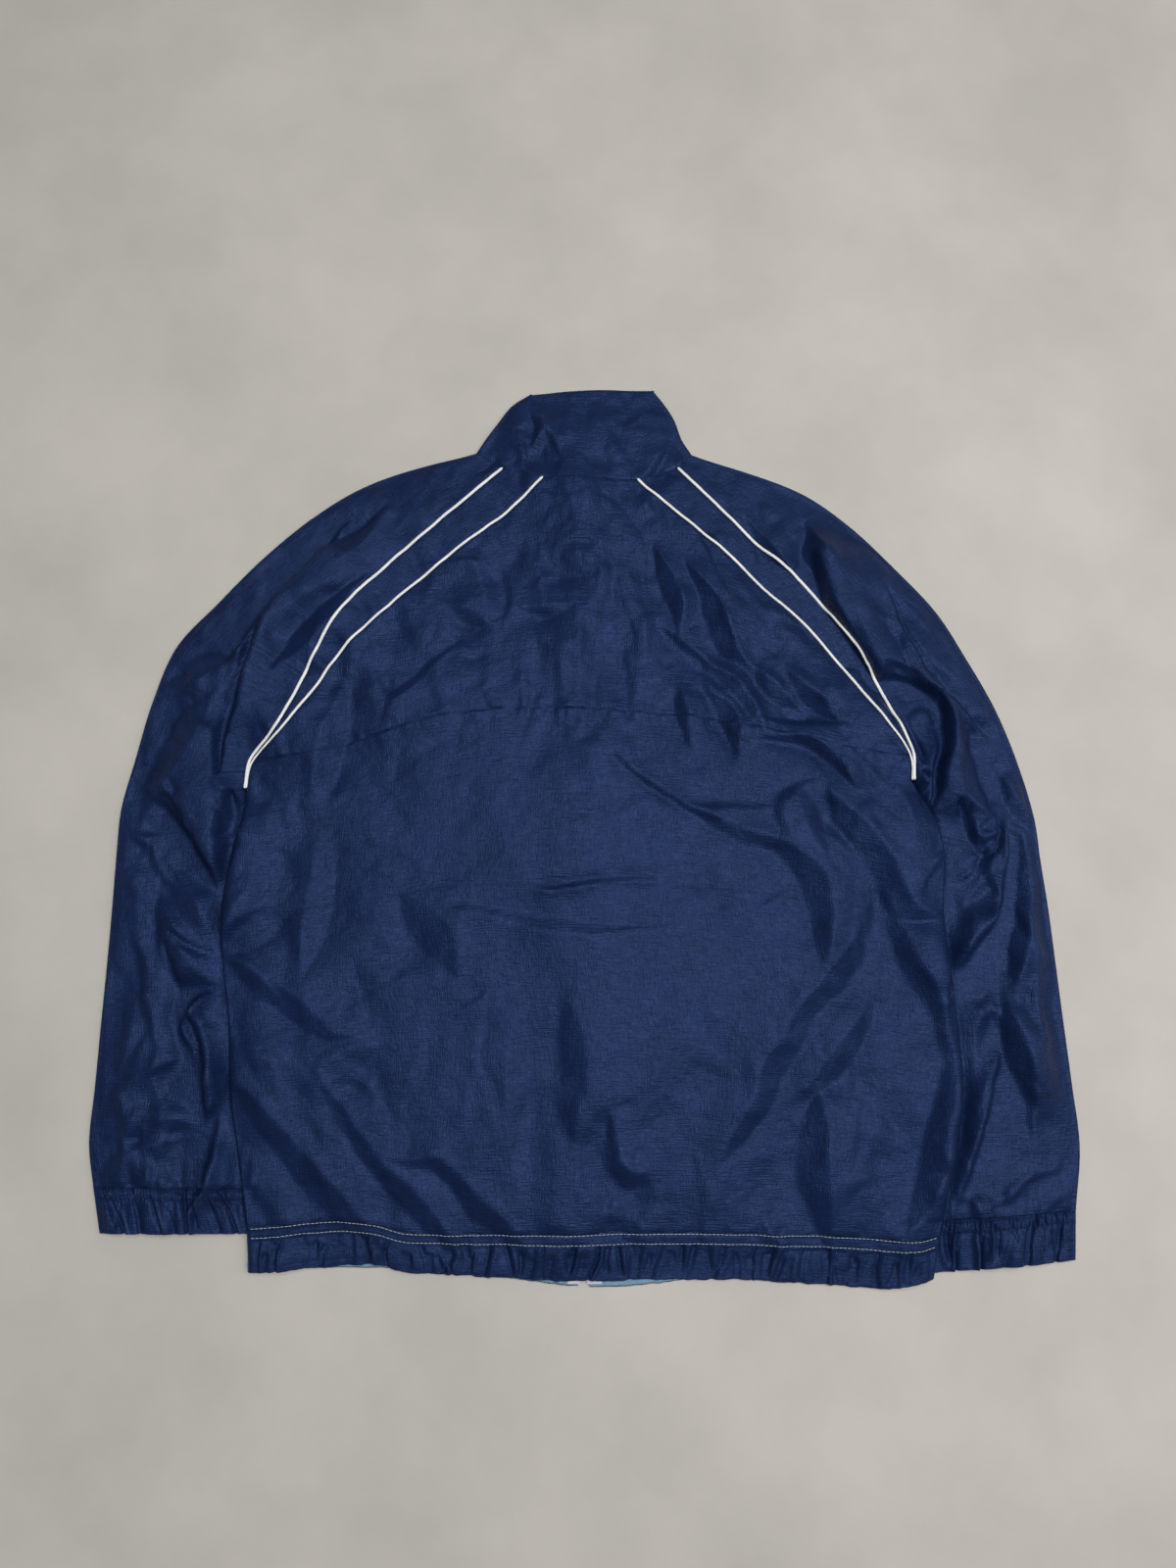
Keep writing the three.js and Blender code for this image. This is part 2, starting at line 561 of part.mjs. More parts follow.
function buildFront(half, frontName, hemName) {
  const centre = half.sign * ZIP.halfGap;
  const raglan = raglanSteps.map(t => frontRaglan(half, t)).reverse();
  const edge = half.sidePoints.filter((_, i) => i <= SIDE_FINE || i % 2 === 0).reverse().slice(0, -1);
  const outer = edge.concat(raglan);
  const hemY = lerp(HEM_SEAM[4][1], HEM_SEAM[5][1], 0.5);
  const hemTop = [[centre, hemY], half.side[half.side.length - 1]];
  const middle = straight(hemTop[0], [centre, FRONT_NECK.y], outer.length - 1);
  const columnsAcross = [0, 0.2, 0.5, 0.78, 0.87, 0.93, 1];
  const along = (p, q) => columnsAcross.map(t => mix(p, q, t));
  const grid = outer.map((p, j) => {
    const q = middle[j];
    return columnsAcross.map(t => mix(q, p, t));
  });
  lowerPanel(frontName, grid, LIGHT_BLUE);
  const corner = half.hemSide[1];
  const hemUpper = along(hemTop[0], hemTop[1]);
  const hemLower = hemUpper.map(([x]) => {
    const u = (x - centre) / (hemTop[1][0] - centre);
    const across = lerp(centre, corner[0], u);
    return [across, frontHemBottom(across)];
  });
  const hemGrid = steps(2).map(v => hemLower.map((p, i) => mix(p, hemUpper[i], v)));
  lowerPanel(hemName, hemGrid, LIGHT_BLUE);
}

// The collar is one strip: it starts at the zip, folds at both sides and ends at the zip again
function buildCollar() {
  const cells = COLLAR_CELLS;
  const seam = joinRuns([
    straight(COLLAR_LEFT[0], LEFT.seam(0), cells.sleeve),
    straight(LEFT.seam(0), LEFT.inset(0), cells.inset),
    straight(LEFT.inset(0), RIGHT.inset(0), cells.yoke),
    straight(RIGHT.inset(0), RIGHT.seam(0), cells.inset),
    straight(RIGHT.seam(0), COLLAR_RIGHT[0], cells.sleeve),
  ]);
  const topEdge = alongPath(COLLAR_TOP, steps(seam.length - 1));
  const sides = [COLLAR_LEFT, COLLAR_RIGHT].map(points => alongPath(points, steps(cells.height)));
  const back = drawIn(patch(seam, topEdge, sides[0], sides[1]), { start: false, end: false });
  const fronts = [LEFT, RIGHT].map((half, k) => {
    const centre = half.sign * ZIP.halfGap;
    const raglan = [half.sign * FRONT_NECK.raglan, FRONT_NECK.raglanY];
    const bottom = joinRuns([straight([centre, FRONT_NECK.y], raglan, cells.front - 2), straight(raglan, sides[k][0], 2)]);
    const top = straight([centre, FRONT_NECK.top], sides[k][cells.height], cells.front);
    const middle = straight([centre, FRONT_NECK.y], [centre, FRONT_NECK.top], cells.height);
    return drawIn(patch(bottom, top, middle, sides[k]), { end: false });
  });
  const rows = back.map((above, j) => {
    const middle = Math.floor(above.length / 2);
    const leftHalf = above.slice(0, middle + 1);
    const rightHalf = above.slice(middle).reverse();
    const start = foldedSection(fronts[0][j], leftHalf, false);
    const end = foldedSection(fronts[1][j], rightHalf, false).reverse();
    return start.concat(end.slice(1));
  });
  add('collar', wall(rows.map(row => row.map(p => p.outer)), rows.map(row => row.map(p => p.inner))), NAVY);
}

function buildZip() {
  const low = frontHemBottom(0) + 2;
  const ys = joinRuns([
    steps(ZIP_CELLS.long).map(t => lerp(low, ZIP_CELLS.split, t)),
    steps(ZIP_CELLS.short).map(t => lerp(ZIP_CELLS.split, ZIP.top, t)),
    [ZIP.top, FRONT_NECK.top - 2],
  ]);
  for (const half of [LEFT, RIGHT]) {
    const rows = ys.map(y => [ZIP.tapeFrom, ZIP.tapeTo].map(x => [half.sign * x, y, lift(x, y) + CLOTH + SEAM_GAP]));
    const inner = rows.map(row => row.map(([x, y, z]) => [x, y, z + ZIP.tape]));
    add(half.sign < 0 ? 'zip_tape_left' : 'zip_tape_right', wall(rows, inner), WHITE);
  }
  const chainYs = ys.filter(y => y <= ZIP.top);
  const chain = chainYs.map(y => [-ZIP.halfChain, ZIP.halfChain].map(x => [x, y, lift(x, y) + 0.5]));
  const chainTop = chain.map(row => row.map(([x, y, z]) => [x, y, z + ZIP.chain]));
  add('zip_chain', wall(chain, chainTop), METAL);
}

function toSolid(geometry) {
  const bare = geometry.clone();
  bare.deleteAttribute('normal');
  bare.deleteAttribute('uv');
  const merged = mergeVertices(bare, 1e-4);
  return new wasm.Manifold(new wasm.Mesh({
    numProp: 3,
    vertProperties: merged.attributes.position.array,
    triVerts: Uint32Array.from(merged.index.array),
  }));
}

function fromSolid(solid) {
  const mesh = solid.getMesh();
  const geometry = new THREE.BufferGeometry();
  geometry.setAttribute('position', new THREE.Float32BufferAttribute(mesh.vertProperties, 3));
  geometry.setIndex(Array.from(mesh.triVerts));
  geometry.computeVertexNormals();
  return geometry;
}

const block = (x, y, z, width, length, height) => toSolid(new THREE.BoxGeometry(width, length, height).translate(x, y, z));
const joined = solids => solids.reduce((all, solid) => all.add(solid));

// The slider has a plate on each face of the chain, a post above its end and a bail for the pull
function buildSlider() {
  const base = lift(0, SLIDER.y);
  const below = base - SLIDER.plate / 2 + 0.2;
  const above = base + 0.5 + ZIP.chain + SEAM_GAP + SLIDER.plate / 2;
  const plateY = SLIDER.y - 1;
  const postY = ZIP.top + 1.6;
  const bailZ = PULL.barZ - PULL.bar / 2 - 0.45;
  add('zip_slider', fromSolid(joined([
    block(0, plateY, below, SLIDER.width, SLIDER.length, SLIDER.plate),
    block(0, plateY, above, SLIDER.width, SLIDER.length, SLIDER.plate),
    block(0, postY, (below + above) / 2, 2.4, 2.2, above - below),
    block(0, SLIDER.y, bailZ, 1.6, 6, 0.5),
    block(0, SLIDER.y - 2.6, (bailZ + below) / 2, 1.6, 0.8, below - bailZ + 0.5),
    block(0, SLIDER.y + 2.6, (bailZ + below) / 2, 1.6, 0.8, below - bailZ + 0.5),
  ])), METAL);
  const bar = new THREE.CylinderGeometry(PULL.bar / 2, PULL.bar / 2, PULL.halfWidth * 2, 12);
  bar.rotateZ(Math.PI / 2).translate(0, SLIDER.y, PULL.barZ);
  const armLength = 5;
  const armX = PULL.halfWidth - PULL.arm / 2;
  add('zip_pull', fromSolid(joined([
    toSolid(bar),
    block(-armX, SLIDER.y - armLength / 2, PULL.barZ, PULL.arm, armLength, PULL.thick),
    block(armX, SLIDER.y - armLength / 2, PULL.barZ, PULL.arm, armLength, PULL.thick),
    block(0, SLIDER.y - armLength - PULL.tab / 2 + 0.5, PULL.barZ, PULL.halfWidth * 2, PULL.tab, PULL.thick),
  ])), METAL);
}

buildBack();
for (const [half, side] of [[LEFT, 'left'], [RIGHT, 'right']]) {
  buildInset(half, `inset_${side}`);
  buildSleeve(half, `sleeve_${side}`);
  buildCuff(half, `cuff_${side}`);
  buildPiping(half, `piping_outer_${side}`, half.seam);
  buildPiping(half, `piping_inner_${side}`, half.inset);
  buildFront(half, `front_${side}`, `hem_front_${side}`);
}
buildHemBack();
buildCollar();
buildZip();
buildSlider();

export default jacket;
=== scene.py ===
"""A track jacket laid out with its back up: the visual model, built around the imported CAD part.

Sizes in the tables are in millimetres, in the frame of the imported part: +X to the right, +Y towards the
collar, +Z up from the surface that the jacket lies on. The mesh of every piece is in metres.
"""

import math

import bpy
import numpy as np
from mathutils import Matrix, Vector


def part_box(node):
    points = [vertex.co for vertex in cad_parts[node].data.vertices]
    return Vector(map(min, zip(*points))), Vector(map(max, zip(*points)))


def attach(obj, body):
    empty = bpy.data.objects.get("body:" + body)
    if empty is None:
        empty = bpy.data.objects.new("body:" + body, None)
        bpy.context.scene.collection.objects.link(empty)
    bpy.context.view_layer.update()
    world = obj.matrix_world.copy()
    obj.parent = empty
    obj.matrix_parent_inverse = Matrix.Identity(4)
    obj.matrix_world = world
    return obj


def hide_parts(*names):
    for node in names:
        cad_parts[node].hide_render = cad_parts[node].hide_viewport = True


bl_info = {
    "name": "Track jacket",
    "version": (1, 0, 0),
    "blender": (4, 5, 0),
    "location": "View3D > Sidebar > Track jacket",
    "description": "Builds a zip-up track jacket, laid out with its back up",
    "category": "Object",
}

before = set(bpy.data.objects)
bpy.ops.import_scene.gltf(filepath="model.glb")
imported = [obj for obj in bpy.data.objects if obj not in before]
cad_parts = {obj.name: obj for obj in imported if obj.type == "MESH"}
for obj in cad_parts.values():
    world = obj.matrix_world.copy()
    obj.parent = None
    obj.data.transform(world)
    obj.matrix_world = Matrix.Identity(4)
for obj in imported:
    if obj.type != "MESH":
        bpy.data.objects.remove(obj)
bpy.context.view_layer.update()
MM = 0.001
GARMENT = "garment"
PULL_BODY = "pull"

# Cut lines. Each sleeve has a row for each ring, from the collar to the cuff. The seam is the outer
# piping down to the armpit and the hidden underarm edge below it. The inset is the inner piping.
ARMPIT = 9
SLEEVE_LEFT = [
    # seam x, seam y, inset x, inset y, fold x, fold y
    (-76, 322, -38, 310, -101, 335),
    (-108, 292, -72, 277, -148, 325),
    (-149, 254, -115, 242, -205, 304),
    (-182, 223, -148, 214, -250, 275),
    (-219, 180, -185, 179, -295, 235),
    (-245, 133, -219, 143, -336, 190),
    (-261, 97, -242, 107, -370, 150),
    (-276, 69, -269, 70, -389, 98),
    (-297, 44, -293.5, 41.5, -401, 45),
    (-301, 18, -297, 18, -410.5, 0),
    (-312, -25, 0, 0, -412, -45),
    (-303, -72, 0, 0, -412.5, -90),
    (-298, -120, 0, 0, -413.5, -135),
    (-291, -180, 0, 0, -415, -185),
    (-284, -240, 0, 0, -416.5, -240),
    (-277, -290, 0, 0, -418, -285),
    (-274, -321, 0, 0, -412, -320),
]
SLEEVE_RIGHT = [
    # seam x, seam y, inset x, inset y, fold x, fold y
    (87, 322, 49, 309, 101, 333),
    (115, 292, 83, 279, 150, 319),
    (160, 246, 131, 237, 205, 296),
    (193, 218, 164, 205, 246, 265),
    (225, 179, 201, 171, 286, 224),
    (248, 146, 228, 137, 322, 182),
    (265, 114, 250, 106, 347, 138),
    (279, 83, 270, 76, 370, 92),
    (292, 50, 287.5, 47, 387, 43),
    (293, 25, 288.5, 25, 399, -8),
    (306, -14, 0, 0, 402, -45),
    (306, -62, 0, 0, 406, -88),
    (297, -115, 0, 0, 409, -132),
    (301, -175, 0, 0, 412, -178),
    (304, -240, 0, 0, 416, -236),
    (297, -290, 0, 0, 419, -288),
    (286, -347, 0, 0, 412, -339),
]
SIDE_LEFT = [(-299, 18), (-303, -8), (-309, -35), (-315, -80), (-316, -103), (-310, -146),
             (-304, -185), (-300, -243), (-292, -285), (-280, -352)]
SIDE_RIGHT = [(291, 25), (306, 2), (315, -24), (317, -48), (313, -85), (317, -140), (321, -200),
              (322, -243), (316, -280), (296, -358)]
HEM_CORNER_LEFT = (-277, -387)
HEM_CORNER_RIGHT = (289, -391)
YOKE_SEAM = [(-293.5, 41.5), (-226, 54), (-136, 82), (-70, 91), (4, 91), (97, 84), (182, 69),
             (248, 52), (287.5, 47)]
HEM_SEAM = [(-280, -352), (-205, -347), (-176, -349), (-150, -356), (-36, -357), (95, -356),
            (221, -359), (278, -361), (296, -358)]
HEM_BOTTOM = [(-277, -387), (-209, -382), (-168, -381), (-150, -386), (-81, -390), (-14, -393),
              (108, -392), (199, -396), (262, -398), (289, -391)]
COLLAR_LEFT = [(-99, 337), (-91, 350), (-80, 366), (-66, 385), (-49, 397)]
COLLAR_RIGHT = [(99, 335), (90, 350), (83, 370), (75, 384), (63, 401)]
COLLAR_TOP = [(-49, 397), (5, 401), (63, 401)]
NECK_Y = 262
NECK_TOP = 350
NECK_RAGLAN = (50, 284)
CUFF_LEFT = ((-278, -357), (-404, -357))
CUFF_RIGHT = ((289, -388), (409, -378))
FRONT_HEM = {"side": -384, "middle": -399.5, "middle_x": 15, "reach": 100}
ZIP_HALF_GAP = 5
ZIP_TOP = 338
SLIDER_Y = 339

# How the two layers of cloth lie on each other
FOLD_EDGE = 4.4
ROLL = FOLD_EDGE / 2
TUCK_LIFT = 5.2
SLIDER_LIFT = 3.0
OPENING = 1.5
SOFTEN = 34.0

# Broad swellings with air under them, and pockets where the cloth is pressed down
SWELLINGS = [
    # x, y, radius x, radius y, rise
    (-255, 60, 60, 70, 5),
    (250, 60, 60, 70, 6),
    (-350, 45, 34, 70, 6),
    (-350, -180, 34, 110, 7),
    (352, 90, 34, 70, 6),
    (364, -60, 32, 90, 6),
    (368, -230, 32, 80, 5),
    (-240, 215, 60, 50, 5),
    (250, 210, 50, 50, 5),
    (200, -30, 60, 60, 5),
    (-230, -220, 80, 90, 3),
    (120, -250, 110, 80, 2),
    (-325, 2, 15, 34, 13),
    (314, 34, 14, 26, 6),
]

# Enlarged crops of the photo, on which the folds were picked: the enlargement, the left and top edge
# in the photo's 1200 by 1600 pixels, and the height in mm that the cloth is taken to have there.
CROPS = {"lr": (2.4, 560, 720, 10), "ll": (2.6, 200, 850, 10), "sl": (2, 80, 520, 9), "sr": (2, 900, 520, 9),
         "yo": (2.4, 250, 470, 12), "co": (4, 460, 380, 12), "l": (620 / 250, 90, 560, 10),
         "r": (560 / 240, 880, 560, 10)}
PHOTO = {"middle": (600, 800), "focal_px": 1200.0, "tilt": math.radians(10.0), "distance": 1050.0, "px_mm": 0.875}

# Facets of the folds: a crop, a tilt, then a middle line's points with the facet's width at each, in the
# crop's own pixels. A facet lies between a crisp crest and a crisp dip, and long gentle slopes lead back from
# both. Where the tilt is above zero the dip is on the line's left, and below zero on its right.
FACET_PICKS = {
    "right half of the back": [
        ("lr", -0.42, (190, 75, 5), (280, 135, 12), (365, 192, 14), (420, 225, 30), (500, 258, 36),
         (570, 275, 32), (610, 310, 50), (650, 350, 66), (668, 420, 66), (675, 490, 50), (680, 578, 8)),
        ("lr", 0.3, (368, 180, 12), (440, 182, 20), (528, 184, 10)),
        ("lr", -0.34, (650, 118, 10), (600, 140, 22), (566, 180, 24), (570, 222, 22), (592, 246, 8)),
        ("lr", 0.36, (630, 165, 36), (650, 205, 44), (672, 250, 34), (690, 292, 8)),
        ("lr", -0.44, (690, 150, 12), (722, 200, 50), (770, 255, 62), (820, 330, 62), (850, 395, 60),
         (890, 436, 50), (952, 452, 14)),
        ("lr", -0.42, (830, 410, 20), (862, 500, 50), (892, 580, 50), (930, 640, 52), (962, 720, 42),
         (978, 800, 50), (978, 880, 50), (952, 980, 52), (940, 1060, 60), (918, 1130, 50),
         (888, 1205, 14)),
        ("lr", 0.36, (775, 470, 8), (765, 530, 42), (722, 590, 58), (680, 640, 48), (632, 690, 46),
         (600, 760, 58), (562, 820, 60), (540, 890, 48), (490, 960, 44), (448, 1025, 20)),
        ("lr", 0.36, (798, 640, 8), (786, 700, 42), (740, 770, 50), (700, 822, 54), (656, 872, 30)),
        ("lr", -0.4, (664, 870, 14), (664, 950, 54), (652, 1030, 72), (656, 1110, 88), (684, 1190, 50),
         (698, 1272, 10)),
        ("lr", -0.28, (530, 1200, 10), (545, 1240, 40), (582, 1284, 16)),
        ("lr", -0.28, (160, 960, 18), (166, 1050, 42), (204, 1090, 50), (256, 1076, 14)),
        ("lr", -0.22, (96, 1140, 24), (130, 1200, 54), (196, 1210, 52), (262, 1268, 12)),
        ("lr", -0.16, (60, 640, 20), (62, 800, 76), (76, 950, 70), (108, 1000, 44), (122, 1110, 20)),
        ("lr", 0.16, (372, 690, 30), (350, 790, 90), (300, 880, 80), (240, 950, 30)),
        ("lr", 0.3, (400, 430, 8), (430, 432, 13), (464, 432, 6)),
        ("lr", 0.2, (310, 440, 6), (330, 410, 10), (370, 402, 6)),
        ("lr", -0.24, (780, 950, 14), (786, 1000, 24), (768, 1056, 8)),
        ("lr", -0.3, (800, 130, 16), (850, 172, 48), (886, 216, 10)),
        ("lr", -0.24, (40, 180, 8), (100, 190, 14), (150, 184, 8)),
        ("lr", 0.22, (386, 350, 6), (392, 372, 16), (430, 376, 6)),
        ("lr", 0.18, (550, 440, 6), (556, 480, 14), (566, 540, 6)),
        ("lr", -0.2, (370, 1040, 10), (390, 1130, 24), (380, 1240, 12)),
        ("lr", -0.75, (186, 70, 6), (230, 108, 8), (290, 150, 9), (362, 190, 8), (420, 214, 8)),
        ("lr", 0.8, (0, 378, 8), (60, 375, 9), (130, 364, 9), (262, 356, 7)),
    ],
    "left half of the back": [
        ("ll", -0.38, (75, 255, 10), (130, 290, 44), (200, 340, 56), (260, 380, 58), (320, 425, 50),
         (372, 464, 34), (432, 466, 8)),
        ("ll", 0.22, (505, 486, 10), (450, 520, 60), (385, 570, 80), (350, 640, 30)),
        ("ll", 0.26, (300, 110, 14), (240, 135, 44), (190, 165, 80), (130, 200, 80), (78, 248, 14)),
        ("ll", 0.34, (352, 0, 50), (344, 100, 60), (326, 190, 52), (298, 304, 8)),
        ("ll", 0.26, (206, 0, 60), (192, 80, 70), (130, 150, 50), (84, 226, 10)),
        ("ll", -0.32, (120, 590, 10), (160, 640, 38), (210, 702, 50), (262, 770, 60), (320, 840, 70),
         (372, 900, 62), (430, 960, 50), (505, 1026, 14)),
        ("ll", -0.36, (340, 570, 10), (372, 640, 30), (430, 722, 40), (492, 802, 42), (552, 870, 52),
         (602, 922, 50), (650, 982, 48), (704, 1044, 14)),
        ("ll", -0.38, (520, 780, 8), (580, 802, 24), (642, 802, 38), (700, 850, 42), (752, 912, 50),
         (802, 952, 48), (850, 1002, 40), (904, 1056, 10)),
        ("ll", 0.4, (640, 416, 5), (700, 390, 11), (750, 366, 13), (792, 332, 5)),
        ("ll", 0.24, (788, 330, 6), (770, 420, 12), (765, 500, 14), (756, 562, 6)),
        ("ll", 0.18, (742, 600, 8), (738, 660, 14), (728, 705, 6)),
        ("ll", 0.15, (884, 380, 20), (870, 500, 52), (862, 650, 54), (872, 800, 40), (884, 905, 14)),
        ("ll", -0.15, (980, 350, 20), (1004, 470, 60), (1016, 600, 54), (1006, 730, 16)),
        ("ll", 0.22, (1040, 640, 24), (1048, 760, 48), (1058, 880, 52), (1072, 960, 60),
         (1098, 1032, 34), (1134, 1052, 8)),
        ("ll", -0.26, (1108, 690, 26), (1122, 780, 30), (1156, 842, 52), (1210, 850, 20)),
        ("ll", -0.22, (140, 460, 10), (156, 500, 34), (200, 560, 44), (236, 630, 12)),
        ("ll", -0.2, (556, 96, 16), (600, 158, 86), (660, 222, 86), (696, 296, 12)),
        ("ll", 0.27, (670, 125, 8), (760, 130, 20), (870, 155, 34), (980, 172, 36), (1080, 182, 26),
         (1200, 176, 14), (1300, 168, 5)),
        ("ll", 0.8, (924, 66, 8), (960, 70, 9), (1000, 62, 9), (1070, 54, 8)),
        ("ll", -0.2, (115, 830, 16), (170, 890, 34), (240, 962, 32), (304, 1008, 12)),
        ("ll", -0.2, (126, 926, 8), (180, 962, 20), (234, 1012, 8)),
        ("ll", 0.18, (620, 470, 8), (600, 560, 30), (560, 640, 12)),
        ("ll", 0.16, (720, 180, 10), (735, 240, 24), (715, 310, 10)),
    ],
    "yoke and insets": [
        ("yo", -0.42, (512, 300, 10), (560, 322, 44), (608, 342, 10)),
        ("yo", -0.42, (690, 300, 10), (742, 306, 34), (806, 294, 12)),
        ("yo", 0.33, (738, 146, 14), (746, 214, 24), (740, 276, 8)),
        ("yo", -0.42, (798, 138, 8), (834, 130, 18), (868, 142, 6)),
        ("yo", 0.27, (868, 176, 14), (898, 214, 32), (882, 272, 42), (862, 336, 48), (852, 410, 46),
         (846, 500, 36), (840, 596, 16)),
        ("yo", -0.24, (906, 190, 10), (930, 280, 32), (946, 350, 40), (960, 450, 34), (950, 560, 14)),
        ("yo", -0.39, (1020, 166, 14), (1040, 226, 40), (1062, 292, 40), (1070, 344, 10)),
        ("yo", -0.42, (1094, 200, 10), (1140, 270, 40), (1162, 330, 58), (1190, 390, 48),
         (1236, 446, 10)),
        ("yo", -0.42, (1030, 340, 10), (1090, 392, 24), (1142, 440, 26), (1192, 474, 30),
         (1236, 524, 32), (1274, 588, 10)),
        ("yo", -0.39, (1068, 486, 12), (1080, 556, 32), (1096, 626, 8)),
        ("yo", -0.36, (1146, 496, 20), (1192, 556, 52), (1212, 646, 14)),
        ("yo", -0.39, (1248, 446, 16), (1292, 492, 40), (1384, 564, 10)),
        ("yo", 0.45, (1288, 566, 8), (1370, 576, 22), (1474, 580, 6)),
        ("yo", -0.54, (1288, 616, 12), (1378, 624, 26), (1440, 662, 28), (1492, 726, 10)),
        ("yo", -0.39, (1346, 466, 16), (1400, 522, 42), (1456, 576, 8)),
        ("yo", 0.39, (256, 488, 16), (244, 570, 58), (222, 640, 64), (206, 716, 50)),
        ("yo", 0.42, (326, 446, 8), (368, 508, 24), (420, 482, 18), (472, 428, 18), (534, 382, 6)),
        ("yo", -0.39, (534, 382, 6), (560, 410, 14), (604, 400, 6)),
        ("yo", 0.42, (440, 186, 5), (500, 182, 11), (572, 178, 5)),
        ("yo", -0.24, (770, 400, 8), (778, 480, 20), (772, 566, 10)),
        ("yo", 0.27, (690, 430, 10), (700, 500, 22), (690, 570, 10)),
        ("yo", -0.27, (640, 200, 8), (655, 270, 22), (640, 340, 8)),
        ("yo", 0.27, (455, 300, 8), (462, 352, 20), (440, 400, 6)),
        ("yo", -0.3, (350, 440, 6), (370, 480, 16), (352, 560, 10)),
        ("yo", -0.3, (900, 655, 8), (935, 657, 12), (972, 656, 5)),
        ("yo", 0.27, (1110, 100, 8), (1150, 180, 12), (1190, 260, 6)),
    ],
    "shoulders": [
        ("yo", 0.62, (252, 92, 10), (200, 150, 40), (140, 220, 52), (80, 272, 60), (30, 330, 56),
         (0, 400, 44)),
        ("yo", 0.36, (350, 60, 16), (280, 130, 50), (200, 190, 60), (150, 250, 20)),
        ("yo", 0.3, (300, 230, 10), (230, 300, 44), (150, 370, 52), (90, 440, 14)),
        ("yo", -0.52, (1388, 106, 14), (1402, 176, 56), (1422, 240, 64), (1452, 300, 64),
         (1492, 352, 50), (1540, 430, 38), (1564, 476, 10)),
        ("yo", -0.36, (1250, 90, 10), (1300, 170, 40), (1340, 230, 44), (1380, 300, 12)),
        ("yo", 0.44, (1536, 440, 10), (1590, 452, 18), (1640, 482, 14)),
        ("yo", 0.95, (246, 98, 8), (160, 190, 20), (100, 255, 26), (45, 320, 26), (4, 392, 12)),
        ("yo", -0.9, (1404, 176, 10), (1438, 296, 24), (1490, 372, 22), (1544, 446, 10)),
    ],
    "left sleeve": [
        ("sl", 0.6, (352, 270, 14), (340, 320, 26), (332, 360, 26), (316, 408, 8)),
        ("sl", 0.3, (284, 326, 14), (240, 380, 58), (200, 440, 64), (160, 510, 50), (136, 580, 8)),
        ("sl", -0.52, (186, 516, 12), (214, 566, 38), (250, 622, 44), (282, 676, 44), (314, 738, 16)),
        ("sl", 0.42, (88, 600, 6), (150, 606, 14), (196, 592, 16), (186, 548, 6)),
        ("sl", -0.36, (118, 608, 8), (168, 660, 30), (210, 722, 42), (252, 782, 42), (294, 854, 14)),
        ("sl", -0.26, (176, 746, 14), (196, 826, 50), (232, 896, 50), (284, 926, 14)),
        ("sl", 0.75, (288, 930, 10), (246, 940, 20), (222, 976, 26), (224, 1012, 26), (246, 1044, 32),
         (256, 1082, 44), (264, 1122, 48), (272, 1168, 20)),
        ("sl", 0.62, (292, 1192, 12), (276, 1240, 40), (262, 1300, 42), (242, 1358, 12)),
        ("sl", -0.34, (36, 1346, 8), (60, 1300, 20), (100, 1256, 22), (150, 1230, 16), (218, 1220, 6)),
        ("sl", 0.6, (296, 514, 8), (334, 556, 24), (326, 604, 26), (286, 604, 10)),
        ("sl", 0.18, (196, 300, 20), (262, 270, 56), (332, 220, 52), (366, 160, 14)),
        ("sl", 0.16, (120, 700, 14), (110, 850, 50), (90, 1000, 50), (80, 1100, 14)),
        ("sl", -0.16, (160, 980, 14), (180, 1080, 44), (170, 1180, 14)),
        ("sl", 0.24, (236, 640, 8), (270, 600, 20), (300, 560, 8)),
        ("sl", -0.22, (150, 1010, 8), (110, 1100, 24), (60, 1180, 8)),
        ("sl", 0.9, (262, 934, 8), (232, 968, 14), (228, 1010, 14), (250, 1050, 16), (262, 1100, 20),
         (268, 1156, 8)),
        ("sl", 0.8, (286, 1206, 8), (270, 1260, 18), (258, 1310, 18), (246, 1346, 8)),
        ("sl", -0.7, (200, 556, 6), (226, 590, 14), (262, 650, 18), (290, 700, 16), (308, 730, 6)),
        ("sl", 0.8, (300, 540, 6), (318, 590, 12), (336, 612, 8)),
        ("sl", -0.6, (296, 690, 5), (306, 708, 10), (316, 716, 5)),
    ],
    "right sleeve": [
        ("sr", -0.3, (20, 118, 5), (60, 210, 9), (120, 302, 11), (170, 350, 10), (216, 396, 5)),
        ("sr", -0.66, (0, 280, 36), (50, 290, 42), (100, 320, 26), (122, 340, 10)),
        ("sr", -0.6, (124, 338, 10), (134, 420, 20), (128, 490, 10)),
        ("sr", 0.36, (0, 322, 20), (40, 384, 34), (84, 462, 14)),
        ("sr", 0.44, (150, 376, 24), (170, 442, 66), (192, 512, 60), (222, 562, 12)),
        ("sr", 0.5, (84, 484, 8), (106, 508, 18), (88, 534, 8)),
        ("sr", 0.6, (114, 648, 6), (130, 632, 12), (142, 618, 5)),
        ("sr", -0.55, (184, 548, 8), (180, 590, 22), (198, 624, 18), (250, 606, 6)),
        ("sr", 0.72, (250, 588, 8), (262, 632, 18), (255, 702, 18), (244, 774, 16), (215, 812, 32),
         (186, 852, 44), (162, 902, 44), (144, 946, 14)),
        ("sr", -0.42, (220, 468, 8), (250, 512, 26), (282, 562, 28), (304, 594, 8)),
        ("sr", -0.34, (292, 612, 12), (292, 700, 40), (286, 780, 38), (276, 852, 36), (272, 906, 14)),
        ("sr", -0.34, (252, 956, 14), (270, 1030, 50), (290, 1100, 42), (304, 1162, 24),
         (314, 1246, 5)),
        ("sr", 0.5, (246, 1068, 12), (230, 1140, 52), (210, 1222, 62), (182, 1292, 52),
         (160, 1352, 34)),
